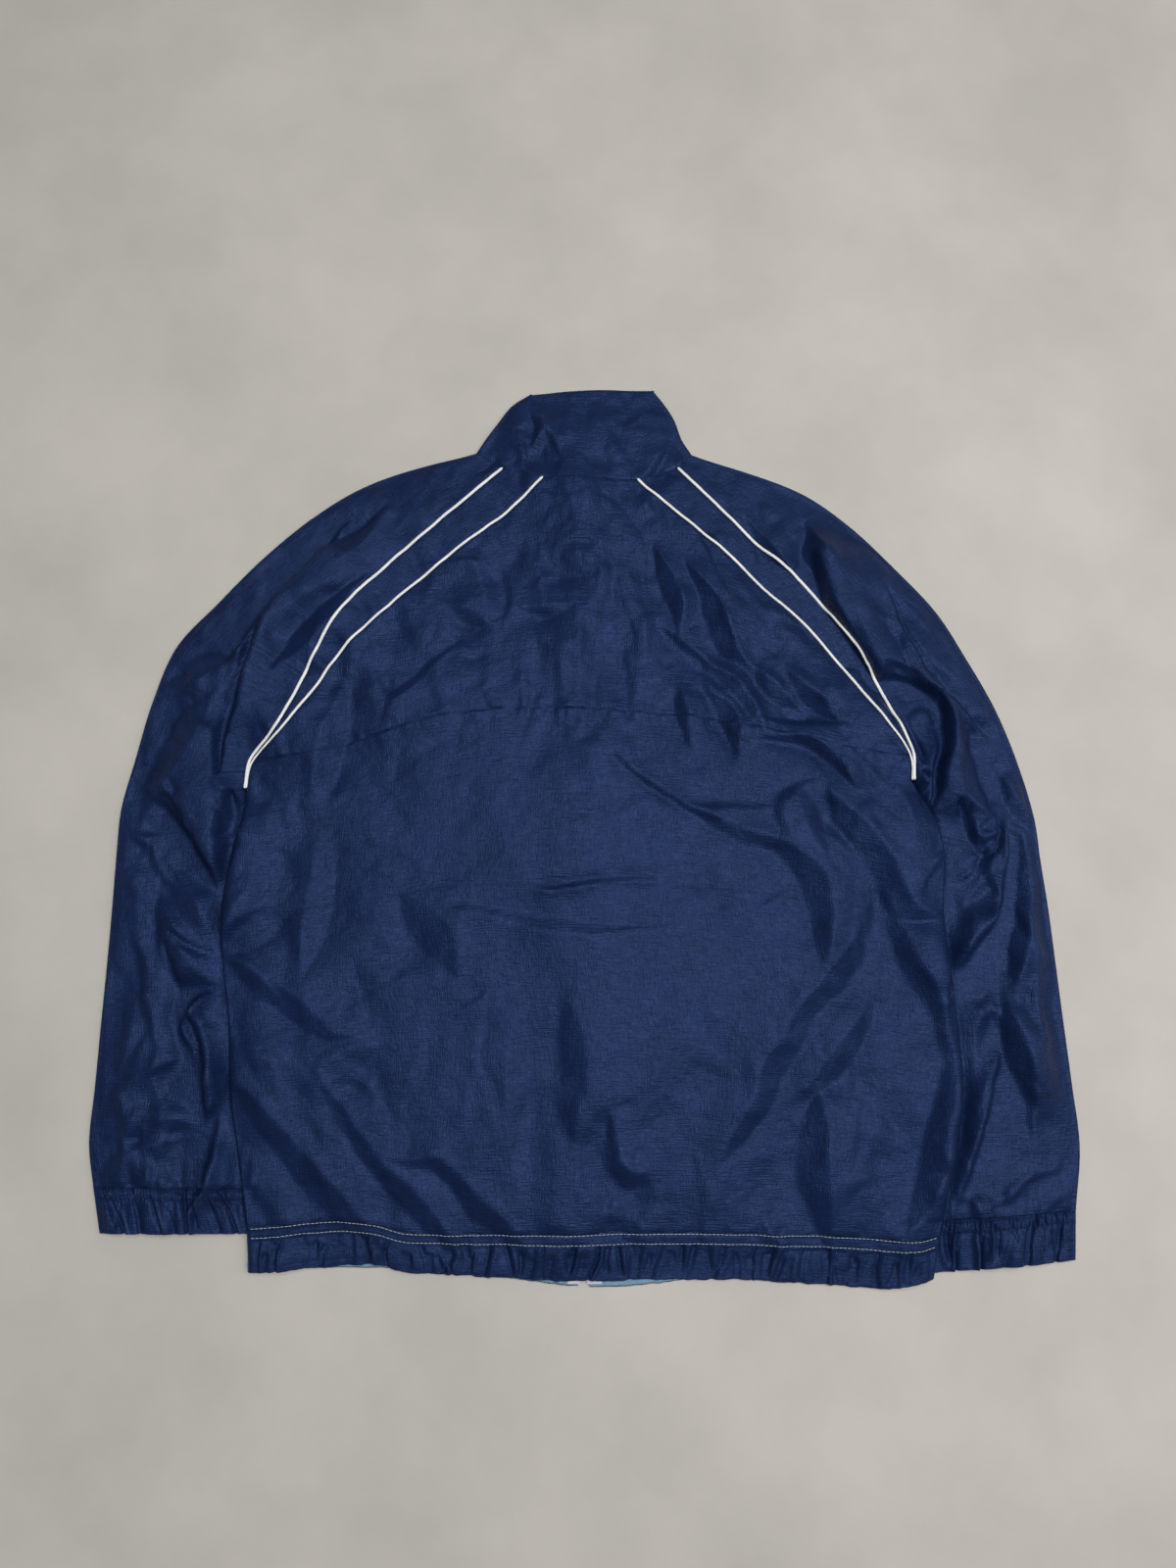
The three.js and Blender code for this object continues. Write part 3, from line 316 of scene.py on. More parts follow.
        ("sr", -0.5, (160, 1350, 10), (188, 1366, 26), (196, 1412, 10)),
        ("sr", -0.36, (224, 1366, 6), (270, 1346, 16), (312, 1310, 17), (368, 1292, 6)),
        ("sr", -0.3, (348, 1372, 6), (380, 1350, 12), (406, 1344, 5)),
        ("sr", 0.34, (212, 640, 6), (182, 690, 14), (148, 704, 6)),
        ("sr", 0.26, (236, 650, 10), (222, 706, 26), (180, 744, 10)),
        ("sr", -0.24, (150, 720, 8), (176, 770, 26), (160, 826, 10)),
        ("sr", 0.16, (330, 720, 12), (345, 860, 40), (352, 1000, 42), (366, 1120, 12)),
        ("sr", 0.22, (240, 900, 8), (214, 990, 26), (200, 1080, 8)),
        ("sr", -0.24, (40, 160, 10), (60, 250, 30), (90, 290, 8)),
        ("sr", 0.9, (256, 604, 6), (262, 660, 10), (252, 742, 10), (238, 786, 12), (200, 842, 20),
         (156, 912, 10)),
        ("sr", -0.95, (40, 290, 10), (96, 312, 12), (122, 338, 14), (132, 400, 16), (128, 476, 6)),
        ("sr", 0.8, (236, 1110, 8), (222, 1180, 20), (196, 1260, 20), (170, 1330, 10)),
        ("sr", 0.6, (92, 486, 5), (100, 506, 10), (92, 526, 5)),
        ("sr", 0.8, (16, 120, 7), (56, 212, 8), (116, 304, 8), (166, 352, 8), (212, 398, 6)),
    ],
    "collar": [
        ("co", -0.84, (352, 80, 14), (368, 124, 44), (350, 176, 14)),
        ("co", -0.68, (404, 136, 12), (432, 188, 34), (464, 240, 8)),
        ("co", 0.52, (308, 164, 8), (320, 226, 20), (314, 280, 6)),
        ("co", -0.52, (216, 262, 12), (252, 310, 24), (272, 366, 6)),
        ("co", 0.68, (896, 208, 14), (852, 270, 32), (812, 330, 26), (782, 388, 8)),
        ("co", 0.24, (300, 262, 30), (400, 296, 90), (470, 270, 20)),
        ("co", 0.6, (396, 386, 12), (430, 400, 20), (494, 410, 5)),
        ("co", 0.72, (900, 300, 8), (924, 320, 22), (946, 326, 6)),
        ("co", 0.4, (136, 306, 8), (170, 290, 30), (206, 254, 8)),
        ("co", -0.28, (650, 160, 10), (670, 240, 50), (655, 330, 10)),
    ],
}
# What the tilts are multiplied by where the folds are softer or crisper than they were picked
SOFTER = 0.62
CRISPER = 1.4


def on_cloth(px, py, z):
    """The place in mm of a pixel of the photo, on cloth at height z."""
    sine = math.sin(PHOTO["tilt"])
    cosine = math.cos(PHOTO["tilt"])
    rise = (PHOTO["middle"][1] - py) / PHOTO["focal_px"]
    y = (rise * (PHOTO["distance"] - z * cosine) - z * sine) / (cosine - rise * sine)
    depth = PHOTO["distance"] + y * sine - z * cosine
    return (px - PHOTO["middle"][0]) * depth / PHOTO["focal_px"], y


def facet_rows():
    """The facets in mm, in the order of the picks."""
    rows = []
    for group, picks in FACET_PICKS.items():
        for crop, tilt, *points in picks:
            zoom, left, top, z = CROPS[crop]
            middle = sum(point[0] for point in points) / len(points)
            if crop == "sl" or (crop == "yo" and middle < 300 and points[0][1] < 240):
                # Folds on the left sleeve and shoulder face left
                up = points[0][1] - points[-1][1]
                if (-up if tilt > 0 else up) > 0:
                    tilt = -tilt
            line = []
            for px, py, width in points:
                x, y = on_cloth(left + px / zoom, top + py / zoom, z)
                width = width / zoom * PHOTO["px_mm"]
                line.append((round(x), round(y), round(width) if width >= 2.5 else round(max(width, 1.4), 1)))
            mean_x = sum(point[0] for point in line) / len(line)
            if group == "left sleeve" and mean_x < -350 and abs(tilt) < 0.7:
                tilt = round(tilt * SOFTER, 2)
            if group == "yoke and insets" and mean_x > 60:
                tilt = round(tilt * CRISPER, 2)
            rows.append((tilt, *line))
    return rows


FACETS = facet_rows()

# Deep creases and the pockets at the armpits: a crop or "mm", a depth, then a middle line's points with half
# the width. They take a share of the cloth's rise, all of it from the full depth on.
GROOVE_PICKS = [
    ("l", 8.5, (500, 20, 8), (455, 85, 16), (435, 140, 20), (405, 240, 12), (382, 310, 18),
     (355, 390, 16), (345, 450, 12), (343, 500, 5)),
    ("mm", 18, (-311, 14, 3.5), (-310, 0, 8.5), (-309, -12, 9.5), (-314, -21, 6.6), (-322, -25, 1.4)),
    ("mm", 15, (-312, -35, 7.6), (-313, -46, 6.9), (-315, -60, 3.9), (-316, -74, 1.4)),
    ("l", 9.5, (330, 1030, 6), (275, 1060, 13), (258, 1100, 13), (275, 1150, 22), (290, 1220, 28),
     (285, 1290, 23), (282, 1340, 11)),
    ("l", 9.5, (330, 1360, 13), (315, 1420, 21), (305, 1480, 23), (298, 1550, 9)),
    ("l", 4, (215, 560, 6), (240, 600, 10), (262, 620, 4)),
    ("l", 5, (225, 900, 8), (280, 940, 14), (325, 955, 10)),
    ("l", 6, (205, 930, 8), (225, 1000, 16), (240, 1040, 8)),
    ("r", 6, (0, 215, 5), (40, 270, 13), (80, 320, 12), (120, 370, 10), (145, 420, 8), (150, 450, 3)),
    ("r", 9, (188, 290, 8), (200, 350, 18), (200, 400, 16), (185, 460, 14), (180, 520, 10),
     (165, 560, 4)),
    ("r", 6, (150, 470, 6), (168, 495, 10), (150, 525, 8), (155, 545, 3)),
    ("r", 8, (235, 540, 6), (248, 580, 13), (262, 630, 12), (290, 665, 6), (320, 660, 3)),
    ("r", 5, (330, 560, 4), (330, 600, 9), (322, 650, 6), (280, 680, 8), (230, 710, 5)),
    ("r", 10, (212, 1000, 8), (228, 960, 14), (262, 915, 14), (300, 870, 10), (332, 830, 4)),
    ("r", 5, (185, 665, 3), (200, 650, 7), (215, 632, 3)),
    ("r", 4, (270, 1510, 6), (280, 1545, 10), (285, 1570, 4)),
    ("r", 4, (230, 1490, 6), (240, 1530, 8), (250, 1560, 4)),
    ("r", 4, (345, 1520, 5), (365, 1550, 8), (375, 1575, 4)),
]
FULL_DEPTH = 9.5
WIDER = 1.15


def groove_rows():
    """The grooves in mm, each with the share of the cloth's rise that it takes."""
    rows = []
    for crop, depth, *line in GROOVE_PICKS:
        if crop != "mm":
            zoom, left, top, z = CROPS[crop]
            picks = line
            line = []
            for px, py, half in picks:
                x, y = on_cloth(left + px / zoom, top + py / zoom, z)
                line.append((round(x), round(y), round(half / zoom * PHOTO["px_mm"], 1)))
        line = [(x, y, round(half * WIDER, 1)) for x, y, half in line]
        rows.append((round(min(1.0, depth / FULL_DEPTH), 2), *line))
    return rows


GROOVES = groove_rows()

# Where small creases gather: they are scattered there with a seeded generator
CREASE_FIELDS = [
    # x, y, radius x, radius y, angle, spread, count, longest, deepest
    (-235, -235, 70, 95, -55, 22, 16, 90, 1.6),
    (245, -190, 60, 130, -72, 22, 18, 90, 1.6),
    (120, -240, 90, 80, -95, 30, 10, 80, 0.9),
    (-90, -200, 110, 110, -75, 30, 12, 80, 0.8),
    (-262, 20, 34, 60, -68, 25, 12, 55, 1.8),
    (238, 0, 44, 55, -48, 25, 12, 60, 1.8),
    (-190, 150, 60, 60, -40, 40, 12, 55, 1.2),
    (165, 165, 60, 70, -48, 30, 12, 60, 1.2),
    (0, 190, 90, 80, -88, 30, 10, 70, 0.7),
    (-345, 120, 40, 80, -62, 24, 14, 60, 2.2),
    (-368, -40, 34, 70, -60, 30, 12, 55, 2.2),
    (-370, -200, 34, 90, -80, 24, 14, 75, 1.8),
    (-352, -292, 48, 24, -82, 20, 18, 34, 1.8),
    (318, 165, 40, 60, -55, 24, 12, 60, 2.0),
    (362, 10, 34, 70, -72, 24, 14, 60, 2.4),
    (368, -180, 34, 90, -76, 22, 14, 75, 2.0),
    (352, -310, 52, 26, -78, 22, 20, 36, 2.0),
    (5, 355, 70, 34, -60, 60, 9, 34, 0.9),
    (-235, 262, 50, 26, -30, 24, 8, 50, 1.4),
    (205, 262, 44, 26, -150, 24, 8, 50, 1.4),
]

# Steps of the cloth's grids
CLOTH_STEP = 2.5
LOWER_STEP = 8.0
EDGE_STEPS = (0.0, 0.12, 0.45, 1.0, 1.7, 2.4, 3.6)
ROLL_ANGLES = (-75, -50, -25, 0, 25, 50, 75)
WALL = 0.9


def linear(code):
    """The linear RGB of an sRGB hex colour."""
    parts = [int(code[k:k + 2], 16) / 255 for k in (1, 3, 5)]
    return tuple(c / 12.92 if c <= 0.04045 else ((c + 0.055) / 1.055) ** 2.4 for c in parts)


def smoothstep(start, end, value):
    t = np.clip((value - start) / (end - start), 0, 1)
    return t * t * (3 - 2 * t)


def through(points, spans):
    """Points on a smooth path through the given ones. A span is the stretch between two of them."""
    p = np.asarray(points, float)
    last = len(p) - 1
    p = np.vstack([2 * p[0] - p[1], p, 2 * p[-1] - p[-2]])
    spans = np.clip(np.asarray(spans, float), 0, last)
    k = np.minimum(spans.astype(int), last - 1)
    f = (spans - k)[:, None]
    a, b, c, d = p[k], p[k + 1], p[k + 2], p[k + 3]
    ab, bc, cd = (np.sqrt(np.linalg.norm(q - r, axis=1))[:, None] for q, r in ((a, b), (b, c), (c, d)))
    leave = ((b - a) / ab - (c - a) / (ab + bc) + (c - b) / bc) * bc
    arrive = ((c - b) / bc - (d - b) / (bc + cd) + (d - c) / cd) * bc
    return b + f * leave + f ** 2 * (3 * (c - b) - 2 * leave - arrive) + f ** 3 * (2 * (b - c) + leave + arrive)


def lengths(line):
    """How far along a line each of its points is."""
    return np.concatenate([[0], np.cumsum(np.linalg.norm(np.diff(line, axis=0), axis=1))])


def resample(line, fractions):
    """Points at the given fractions of a line's length."""
    far = lengths(line)
    at = np.asarray(fractions) * far[-1]
    return np.column_stack([np.interp(at, far, line[:, k]) for k in range(line.shape[1])])


def smooth_line(points, fractions):
    """Points at the given fractions of the length of a smooth path."""
    spans = np.linspace(0, len(points) - 1, 40 * (len(points) - 1) + 1)
    return resample(through(points, spans), fractions)


def straight(start, end, fractions):
    f = np.asarray(fractions, float)[:, None]
    return np.asarray(start, float) * (1 - f) + np.asarray(end, float) * f


def steps_over(length, step, crowd_start=True, crowd_end=True):
    """Fractions of a length, in even steps, with closer ones at the ends that are rolled."""
    lead = EDGE_STEPS if crowd_start else (0.0,)
    tail = EDGE_STEPS if crowd_end else (0.0,)
    start, end = lead[-1], length - tail[-1]
    count = max(2, int(round((end - start) / step)))
    middle = np.linspace(start, end, count + 1)
    tail_steps = [length - d for d in reversed(tail[:-1])]
    return np.concatenate([lead[:-1], middle, tail_steps]) / length


def nearest(line, x, y):
    """For each point: distance to a line, how far along it that is, and the side (left is +)."""
    line = np.asarray(line, float)
    far = lengths(line)
    best = np.full(x.shape, 1e9)
    along = np.zeros(x.shape)
    side = np.ones(x.shape)
    for i in range(len(line) - 1):
        ax, ay = line[i]
        dx, dy = line[i + 1] - line[i]
        size = dx * dx + dy * dy
        if size == 0:
            continue
        t = np.clip(((x - ax) * dx + (y - ay) * dy) / size, 0, 1)
        distance = np.hypot(x - ax - t * dx, y - ay - t * dy)
        closer = distance < best
        best = np.where(closer, distance, best)
        along = np.where(closer, far[i] + t * (far[i + 1] - far[i]), along)
        side = np.where(closer, np.where(dx * (y - ay) - dy * (x - ax) >= 0, 1, -1), side)
    return best, along, side


def noise(x, y, cell, seed):
    """Smooth noise between about -1 and 1, with features of the given size. The seed fixes it."""
    rng = np.random.default_rng(seed)
    size = 256
    angle = rng.random((size, size)) * 2 * np.pi
    gx, gy = np.cos(angle), np.sin(angle)
    u = np.asarray(x, float) / cell + 1000.37
    v = np.asarray(y, float) / cell + 1000.61
    i, j = np.floor(u).astype(int), np.floor(v).astype(int)
    fu, fv = u - i, v - j
    su = fu ** 3 * (fu * (6 * fu - 15) + 10)
    sv = fv ** 3 * (fv * (6 * fv - 15) + 10)

    def corner(di, dj):
        a, b = (i + di) % size, (j + dj) % size
        return gx[a, b] * (fu - di) + gy[a, b] * (fv - dj)

    low = corner(0, 0) * (1 - su) + corner(1, 0) * su
    high = corner(0, 1) * (1 - su) + corner(1, 1) * su
    return 1.5 * (low * (1 - sv) + high * sv)


class Half:
    """One side of the jacket: its cut lines as smooth paths."""

    def __init__(self, sign, sleeve, side, hem_corner, collar_side, cuff):
        table = np.array(sleeve, float)
        self.sign = sign
        self.name = "left" if sign < 0 else "right"
        self.rows = len(table) - 1
        self.table = table
        self.side = smooth_line(side, np.linspace(0, 1, 121))
        self.hem_corner = np.array(hem_corner, float)
        self.body_edge = np.vstack([smooth_line(side, np.linspace(0, 1, 21)), hem_corner])
        self.collar_side = collar_side
        self.cuff = np.array(cuff, float)
        self.fold_line = np.vstack([self.fold(np.linspace(0, self.rows, 2 * self.rows + 1)), cuff[1]])
        self.armpit_y = side[0][1]

    def seam(self, spans):
        return through(self.table[:, 0:2], np.atleast_1d(spans))

    def inset(self, spans):
        return through(self.table[:ARMPIT + 1, 2:4], np.atleast_1d(spans))

    def fold(self, spans):
        return through(self.table[:, 4:6], np.atleast_1d(spans))


LEFT = Half(-1, SLEEVE_LEFT, SIDE_LEFT, HEM_CORNER_LEFT, COLLAR_LEFT, CUFF_LEFT)
RIGHT = Half(1, SLEEVE_RIGHT, SIDE_RIGHT, HEM_CORNER_RIGHT, COLLAR_RIGHT, CUFF_RIGHT)
HALVES = (LEFT, RIGHT)
COLLAR_OUTLINE = COLLAR_LEFT + COLLAR_TOP[1:] + COLLAR_RIGHT[:-1][::-1]
RIMS = [LEFT.body_edge, RIGHT.body_edge, LEFT.fold_line, RIGHT.fold_line, COLLAR_OUTLINE, HEM_BOTTOM]


def neck_seam():
    """The seam between the collar and the back, from its left fold to its right one."""
    return np.vstack([COLLAR_LEFT[0], LEFT.seam(0), LEFT.inset(0), RIGHT.inset(0), RIGHT.seam(0), COLLAR_RIGHT[0]])


def seam_lines():
    """Every seam that shows from above: line, depth of its valley, its width, and its puckers' height,
    pitch and reach."""
    raglan = np.linspace(0, ARMPIT, 46)
    lines = []
    for half in HALVES:
        lines.append((half.seam(raglan), 0.9, 2.2, 0.45, 9, 12))
        lines.append((half.inset(raglan), 0.9, 2.0, 0.45, 9, 10))
        cuff_seam = np.vstack([half.seam(half.rows), half.fold(half.rows)])
        lines.append((cuff_seam, 1.8, 2.4, 3.4, 8, 24))
    lines.append((smooth_line(YOKE_SEAM, np.linspace(0, 1, 61)), 0.40, 0.8, 2.0, 7, 9))
    lines.append((smooth_line(HEM_SEAM, np.linspace(0, 1, 61)), 0.8, 1.4, 1.1, 8, 12))
    lines.append((neck_seam(), 0.45, 1.2, 0.5, 9, 9))
    return lines


def scattered_creases():
    """Small creases with uneven length, depth and place, always the same ones."""
    rng = np.random.default_rng(41)
    found = []
    for cx, cy, rx, ry, angle, spread, count, longest, deepest in CREASE_FIELDS:
        for _ in range(count):
            turn, far = rng.uniform(0, 2 * np.pi), math.sqrt(rng.uniform())
            middle = np.array([cx + rx * far * math.cos(turn), cy + ry * far * math.sin(turn)])
            heading = math.radians(angle + rng.uniform(-spread, spread))
            reach = longest * rng.uniform(0.35, 1) / 2
            way = np.array([math.cos(heading), math.sin(heading)])
            bow = np.array([-way[1], way[0]]) * reach * rng.uniform(-0.25, 0.25)
            width = rng.uniform(3.0, 10.0)
            tilt = 0.13 * deepest * rng.uniform(0.4, 1) * rng.choice([-1, 1])
            start, end = middle - way * reach, middle + way * reach
            found.append((tilt, (*start, 1.5), (*(middle + bow), width), (*end, 1.5)))
    return found


def fold_paths():
    """Every facet as its tilt, its middle line and its half width at each of the line's points."""
    runs = []
    for tilt, *points in FACETS + scattered_creases():
        line = smooth_line(points, np.linspace(0, 1, 5 * (len(points) - 1) + 1))
        runs.append((tilt, line[:, :2], np.maximum(line[:, 2], 1.2) / 2))
    return runs


SEAMS = seam_lines()
FOLD_PATHS = fold_paths()


def lift(x, y):
    """How far the lower layer is off the surface: over the tucked sleeves and over the zip's slider."""
    rise = np.zeros(x.shape)
    for half in HALVES:
        mine = (x < 0) == (half.sign < 0)
        tuck = smoothstep(half.armpit_y - 6, half.armpit_y - 42, y)
        over = 1 - smoothstep(24, 62, nearest(half.body_edge, x, y)[0])
        rise = np.where(mine, TUCK_LIFT * tuck * over, rise)
    along_zip = smoothstep(260, 290, y) * (1 - smoothstep(362, 392, y))
    return rise + SLIDER_LIFT * along_zip * (1 - smoothstep(12, 34, np.abs(x)))


def under_body(x, y):
    """Whether a point lies under the body, inside its side edge."""
    found = np.zeros(x.shape, bool)
    for half in HALVES:
        mine = (x < 0) == (half.sign < 0)
        side = nearest(half.body_edge, x, y)[2]
        found |= mine & (y < half.armpit_y) & (side * half.sign < 0)
    return found


def facet_shape(line, halves, x, y):
    """Height of a facet with a tilt of one. It fades out past the line's ends."""
    distance, along, side = nearest(line, x, y)
    across = distance * side
    fade = np.ones(x.shape)
    for end, inner, there in ((0, 1, along <= 0), (-1, -2, along >= lengths(line)[-1] * 0.99999)):
        way = line[end] - line[inner]
        way = way / np.linalg.norm(way)
        beyond = (x - line[end, 0]) * way[0] + (y - line[end, 1]) * way[1]
        sideways = (way[0] * (y - line[end, 1]) - way[1] * (x - line[end, 0])) * (1 if end else -1)
        across = np.where(there, sideways, across)
        fade = np.where(there, np.exp(-(np.maximum(beyond, 0) / (4 + halves[end])) ** 2), fade)
    half = np.interp(along, lengths(line), halves)
    past = np.clip((np.abs(across) - half) / (6 * half + 6), 0, 1)
    return -np.sign(across) * np.minimum(np.abs(across), half) * (1 - past) ** 2 * fade


def relief(x, y):
    """Height that the folds give to the upper layer, before it is pressed at its edges."""
    cloth = bpy.context.scene.jacket_cloth
    wx = x + 1.5 * noise(x, y, 50, 11) + 0.9 * noise(x, y, 15, 12)
    wy = y + 1.5 * noise(x, y, 50, 13) + 0.9 * noise(x, y, 15, 14)
    rise = np.zeros(x.shape)
    on_sleeve = smoothstep(270, 320, np.abs(x) + 0.62 * np.maximum(0, y - 20))
    uneven = (1.3 + 1.1 * on_sleeve) * (1 + 0.25 * noise(x, y, 26, 15))
    for tilt, line, halves in FOLD_PATHS:
        room = 7 * halves.max() + 7
        low, high = line.min(0) - room, line.max(0) + room
        inside = (wx > low[0]) & (wx < high[0]) & (wy > low[1]) & (wy < high[1])
        if inside.any():
            shape = facet_shape(line, halves, wx[inside], wy[inside])
            rise[inside] += cloth.fold_strength * tilt * uneven[inside] * shape
    return rise


def swellings(x, y):
    """Height of the broad swellings, which rise slowly from the cloth's edges."""
    rise = np.zeros(x.shape)
    for px, py, rx, ry, up in SWELLINGS:
        rise += up * np.exp(-((x - px) / rx) ** 2 - ((y - py) / ry) ** 2)
    return rise


def groove_share(x, y):
    """The share of the cloth's rise that the deep creases take away."""
    wx, wy = x + 0.8 * noise(x, y, 14, 16), y + 0.8 * noise(x, y, 14, 17)
    taken = np.zeros(x.shape)
    for share, *points in GROOVES:
        line = smooth_line(points, np.linspace(0, 1, 6 * len(points)))
        room = 2 * line[:, 2].max()
        low, high = line[:, :2].min(0) - room, line[:, :2].max(0) + room
        inside = (wx > low[0]) & (wx < high[0]) & (wy > low[1]) & (wy < high[1])
        if inside.any():
            distance, along, _ = nearest(line[:, :2], wx[inside], wy[inside])
            half = np.interp(along, lengths(line[:, :2]), np.maximum(line[:, 2], 0.5))
            taken[inside] = np.maximum(taken[inside], share * np.maximum(0, 1 - distance / half))
    return taken


# Small facets of crumpled cloth: cell, height, heading in radians, stretch along the cloth
CRUMPLES = [(46, 2.3, 0.2, 1.6), (27, 1.6, 1.0, 1.6), (15, 1.0, 0.5, 1.6), (9, 0.55, 1.3, 1.5), (13, 1.5, 0.06, 3.4)]


def crumple(x, y, cell, heading, stretch, seed):
    """Flat facets between crisp creases, about one cell wide and longer along the cloth. -1 to 1."""
    heights = np.random.default_rng(seed).random((256, 256)) * 2 - 1
    c, s = math.cos(heading), math.sin(heading)
    u = (x * c + y / stretch * s) / cell + 0.5 * noise(x, y, 1.9 * cell, seed + 1) + 900.3
    v = (y / stretch * c - x * s) / cell + 0.5 * noise(x, y, 1.9 * cell, seed + 2) + 900.7
    i, j = np.floor(u).astype(int), np.floor(v).astype(int)
    fu, fv = u - i, v - j
    h00, h10 = heights[i % 256, j % 256], heights[(i + 1) % 256, j % 256]
    h01, h11 = heights[i % 256, (j + 1) % 256], heights[(i + 1) % 256, (j + 1) % 256]
    low = h00 + (h10 - h00) * fu + (h01 - h00) * fv
    high = h11 + (h01 - h11) * (1 - fu) + (h10 - h11) * (1 - fv)
    return np.where(fu + fv < 1, low, high)


def wrinkles(x, y):
    """Soft storage creases and crisp crinkle, all over the cloth."""
    cloth = bpy.context.scene.jacket_cloth
    rise = 0.8 * noise(x, y * 0.45, 75, 21)
    high = smoothstep(-20, 110, y)
    for k, (cell, height, heading, stretch) in enumerate(CRUMPLES):
        there = 0.55 + 0.75 * smoothstep(-0.4, 0.6, noise(x, y, 3.1 * cell, 241 + k))
        # The narrow upright ones are strongest in the yoke
        there *= 0.15 + 0.85 * high if stretch > 2 else 1 + 0.35 * high
        rise += height * there * crumple(x, y, cell, heading, stretch, 201 + 5 * k)
    calm = np.exp(-((x - 10) / 170) ** 2 - ((y + 130) / 160) ** 2)
    return cloth.crinkle * (1 - 0.55 * calm) * rise


def seam_shape(x, y):
    """The valley that each seam pulls into the cloth, and the puckers beside it."""
    rise = np.zeros(x.shape)
    for k, (line, depth, width, pucker, pitch, reach) in enumerate(SEAMS):
        room = 3 * reach + 6
        line = np.asarray(line, float)
        low, high = line.min(0) - room, line.max(0) + room
        inside = (x > low[0]) & (x < high[0]) & (y > low[1]) & (y < high[1])
        if not inside.any():
            continue
        distance, along, side = nearest(line, x[inside], y[inside])
        rise[inside] -= depth * np.exp(-(distance / width) ** 2)
        drift = along + 0.1 * distance * np.sin(along / 23)
        ripple = noise(drift / pitch * 10, side * 40 + distance * 0.25, 10, 31 + k)
        strength = 0.6 + 0.6 * noise(along, side * 30, 46, 51 + k)
        near = np.exp(-(distance / reach) ** 1.5) * (1 - np.exp(-distance / 1.5))
        rise[inside] += pucker * 1.6 * ripple * strength * near
    return rise


def top_height(x, y, sleeve=False, seams=True):
    """Height of the upper layer's outer face. A sleeve lies flat where it is under the body."""
    x, y = np.asarray(x, float), np.asarray(y, float)
    shape = x.shape
    x, y = x.ravel(), y.ravel()
    cloth = bpy.context.scene.jacket_cloth
    rim = np.min([nearest(line, x, y)[0] for line in RIMS], axis=0)
    # At the armpits the sleeve's cloth is bunched up beside the body's edge
    for half in HALVES:
        bunch = 13 * np.exp(-((x - half.side[0, 0] - 9 * half.sign) / 22) ** 2 - ((y - half.armpit_y + 12) / 30) ** 2)
        rim += bunch if sleeve else bunch * smoothstep(half.armpit_y - 12, half.armpit_y + 4, y)
    pressed = 1 - np.exp(-np.maximum(0, rim - OPENING) / SOFTEN)
    near_rim = 1 - np.exp(-rim / 4)
    base = np.zeros(x.shape) if sleeve else lift(x, y) + 1.4 * (1 - smoothstep(16, 44, np.abs(x)))
    if sleeve:
        tucked = under_body(x, y)
        pressed = np.where(tucked, 0, pressed)
        near_rim = np.where(tucked, 0, near_rim)
    slow = (rim / 13) ** 1.5 if sleeve else rim / 7
    folds = relief(x, y) * (1 - np.exp(-slow)) + swellings(x, y) * (1 - np.exp(-(rim / 17) ** 1.3))
    swell = cloth.air / MM * pressed + np.where(pressed > 0, folds, 0)
    swell = np.minimum(swell, 14.5 + 7 * np.tanh((swell - 14.5) / 7)) * (1 - groove_share(x, y))
    swell = np.maximum(0.9 * np.exp(np.minimum(0, swell - 0.9)), swell) * np.minimum(1, 2.5 * near_rim)
    z = base + FOLD_EDGE + np.where(pressed > 0, swell, 0)
    fine = wrinkles(x, y) + (seam_shape(x, y) if seams else 0)
    floor_of_cloth = base + FOLD_EDGE - 1.2
    z = np.maximum(z + fine * near_rim, floor_of_cloth)
    z = np.where(z > 19, 19 + 7 * np.tanh((z - 19) / 7), z)
    return z.reshape(shape)


def patch(bottom, top, left, right, u, v):
    """A grid between four edges. Rows run from the bottom one to the top one."""
    u, v = u[None, :, None], v[:, None, None]
    b, t, l, r = bottom[None], top[None], left[:, None], right[:, None]
    corners = (1 - v) * ((1 - u) * b[:, :1] + u * b[:, -1:]) + v * ((1 - u) * t[:, :1] + u * t[:, -1:])
    return (1 - v) * b + v * t + (1 - u) * l + u * r - corners


def draw_in(plan, first=True, last=True, start=True, end=True, gap=0.08):
    """Moves the chosen edges of a grid inwards by half a seam's gap."""
    moved = plan.copy()
    for use, edge, inner in ((first, np.s_[0, :], np.s_[1, :]), (last, np.s_[-1, :], np.s_[-2, :]),
                             (start, np.s_[:, 0], np.s_[:, 1]), (end, np.s_[:, -1], np.s_[:, -2])):
        if use:
            way = plan[inner] - plan[edge]
            size = np.linalg.norm(way, axis=-1, keepdims=True)
            moved[edge] += way / np.maximum(size, 1e-9) * np.minimum(gap, size * 0.4)
    return moved


def rolled(distance):
    """How far a rolled edge has come down, at a distance from its rim."""
    inside = np.clip(ROLL - distance, 0, ROLL)
    return ROLL - np.sqrt(np.maximum(0, ROLL ** 2 - inside ** 2))


def turn_under(grid, edge, radius, reach):
    """Adds rows past an edge, which carry the cloth round and back underneath."""
    last, before = {"first": (grid[0], grid[1]), "last": (grid[-1], grid[-2])}[edge]
    way = last[:, :2] - before[:, :2]
    way /= np.maximum(np.linalg.norm(way, axis=1, keepdims=True), 1e-9)
    rows = []
    for angle in (20, 45, 70, 95, 120, 150, 180):
        a = math.radians(angle)
        out = last[:, :2] + way * (radius * math.sin(a))
        rows.append(np.column_stack([out, last[:, 2] - radius * (1 - math.cos(a))]))
    for share in (0.5, 1):
        rows.append(np.column_stack([last[:, :2] - way * reach * share, last[:, 2] - 2 * radius]))
    added = np.array(rows)
    if edge == "first":
        return np.concatenate([added[::-1], grid])
    return np.concatenate([grid, added])


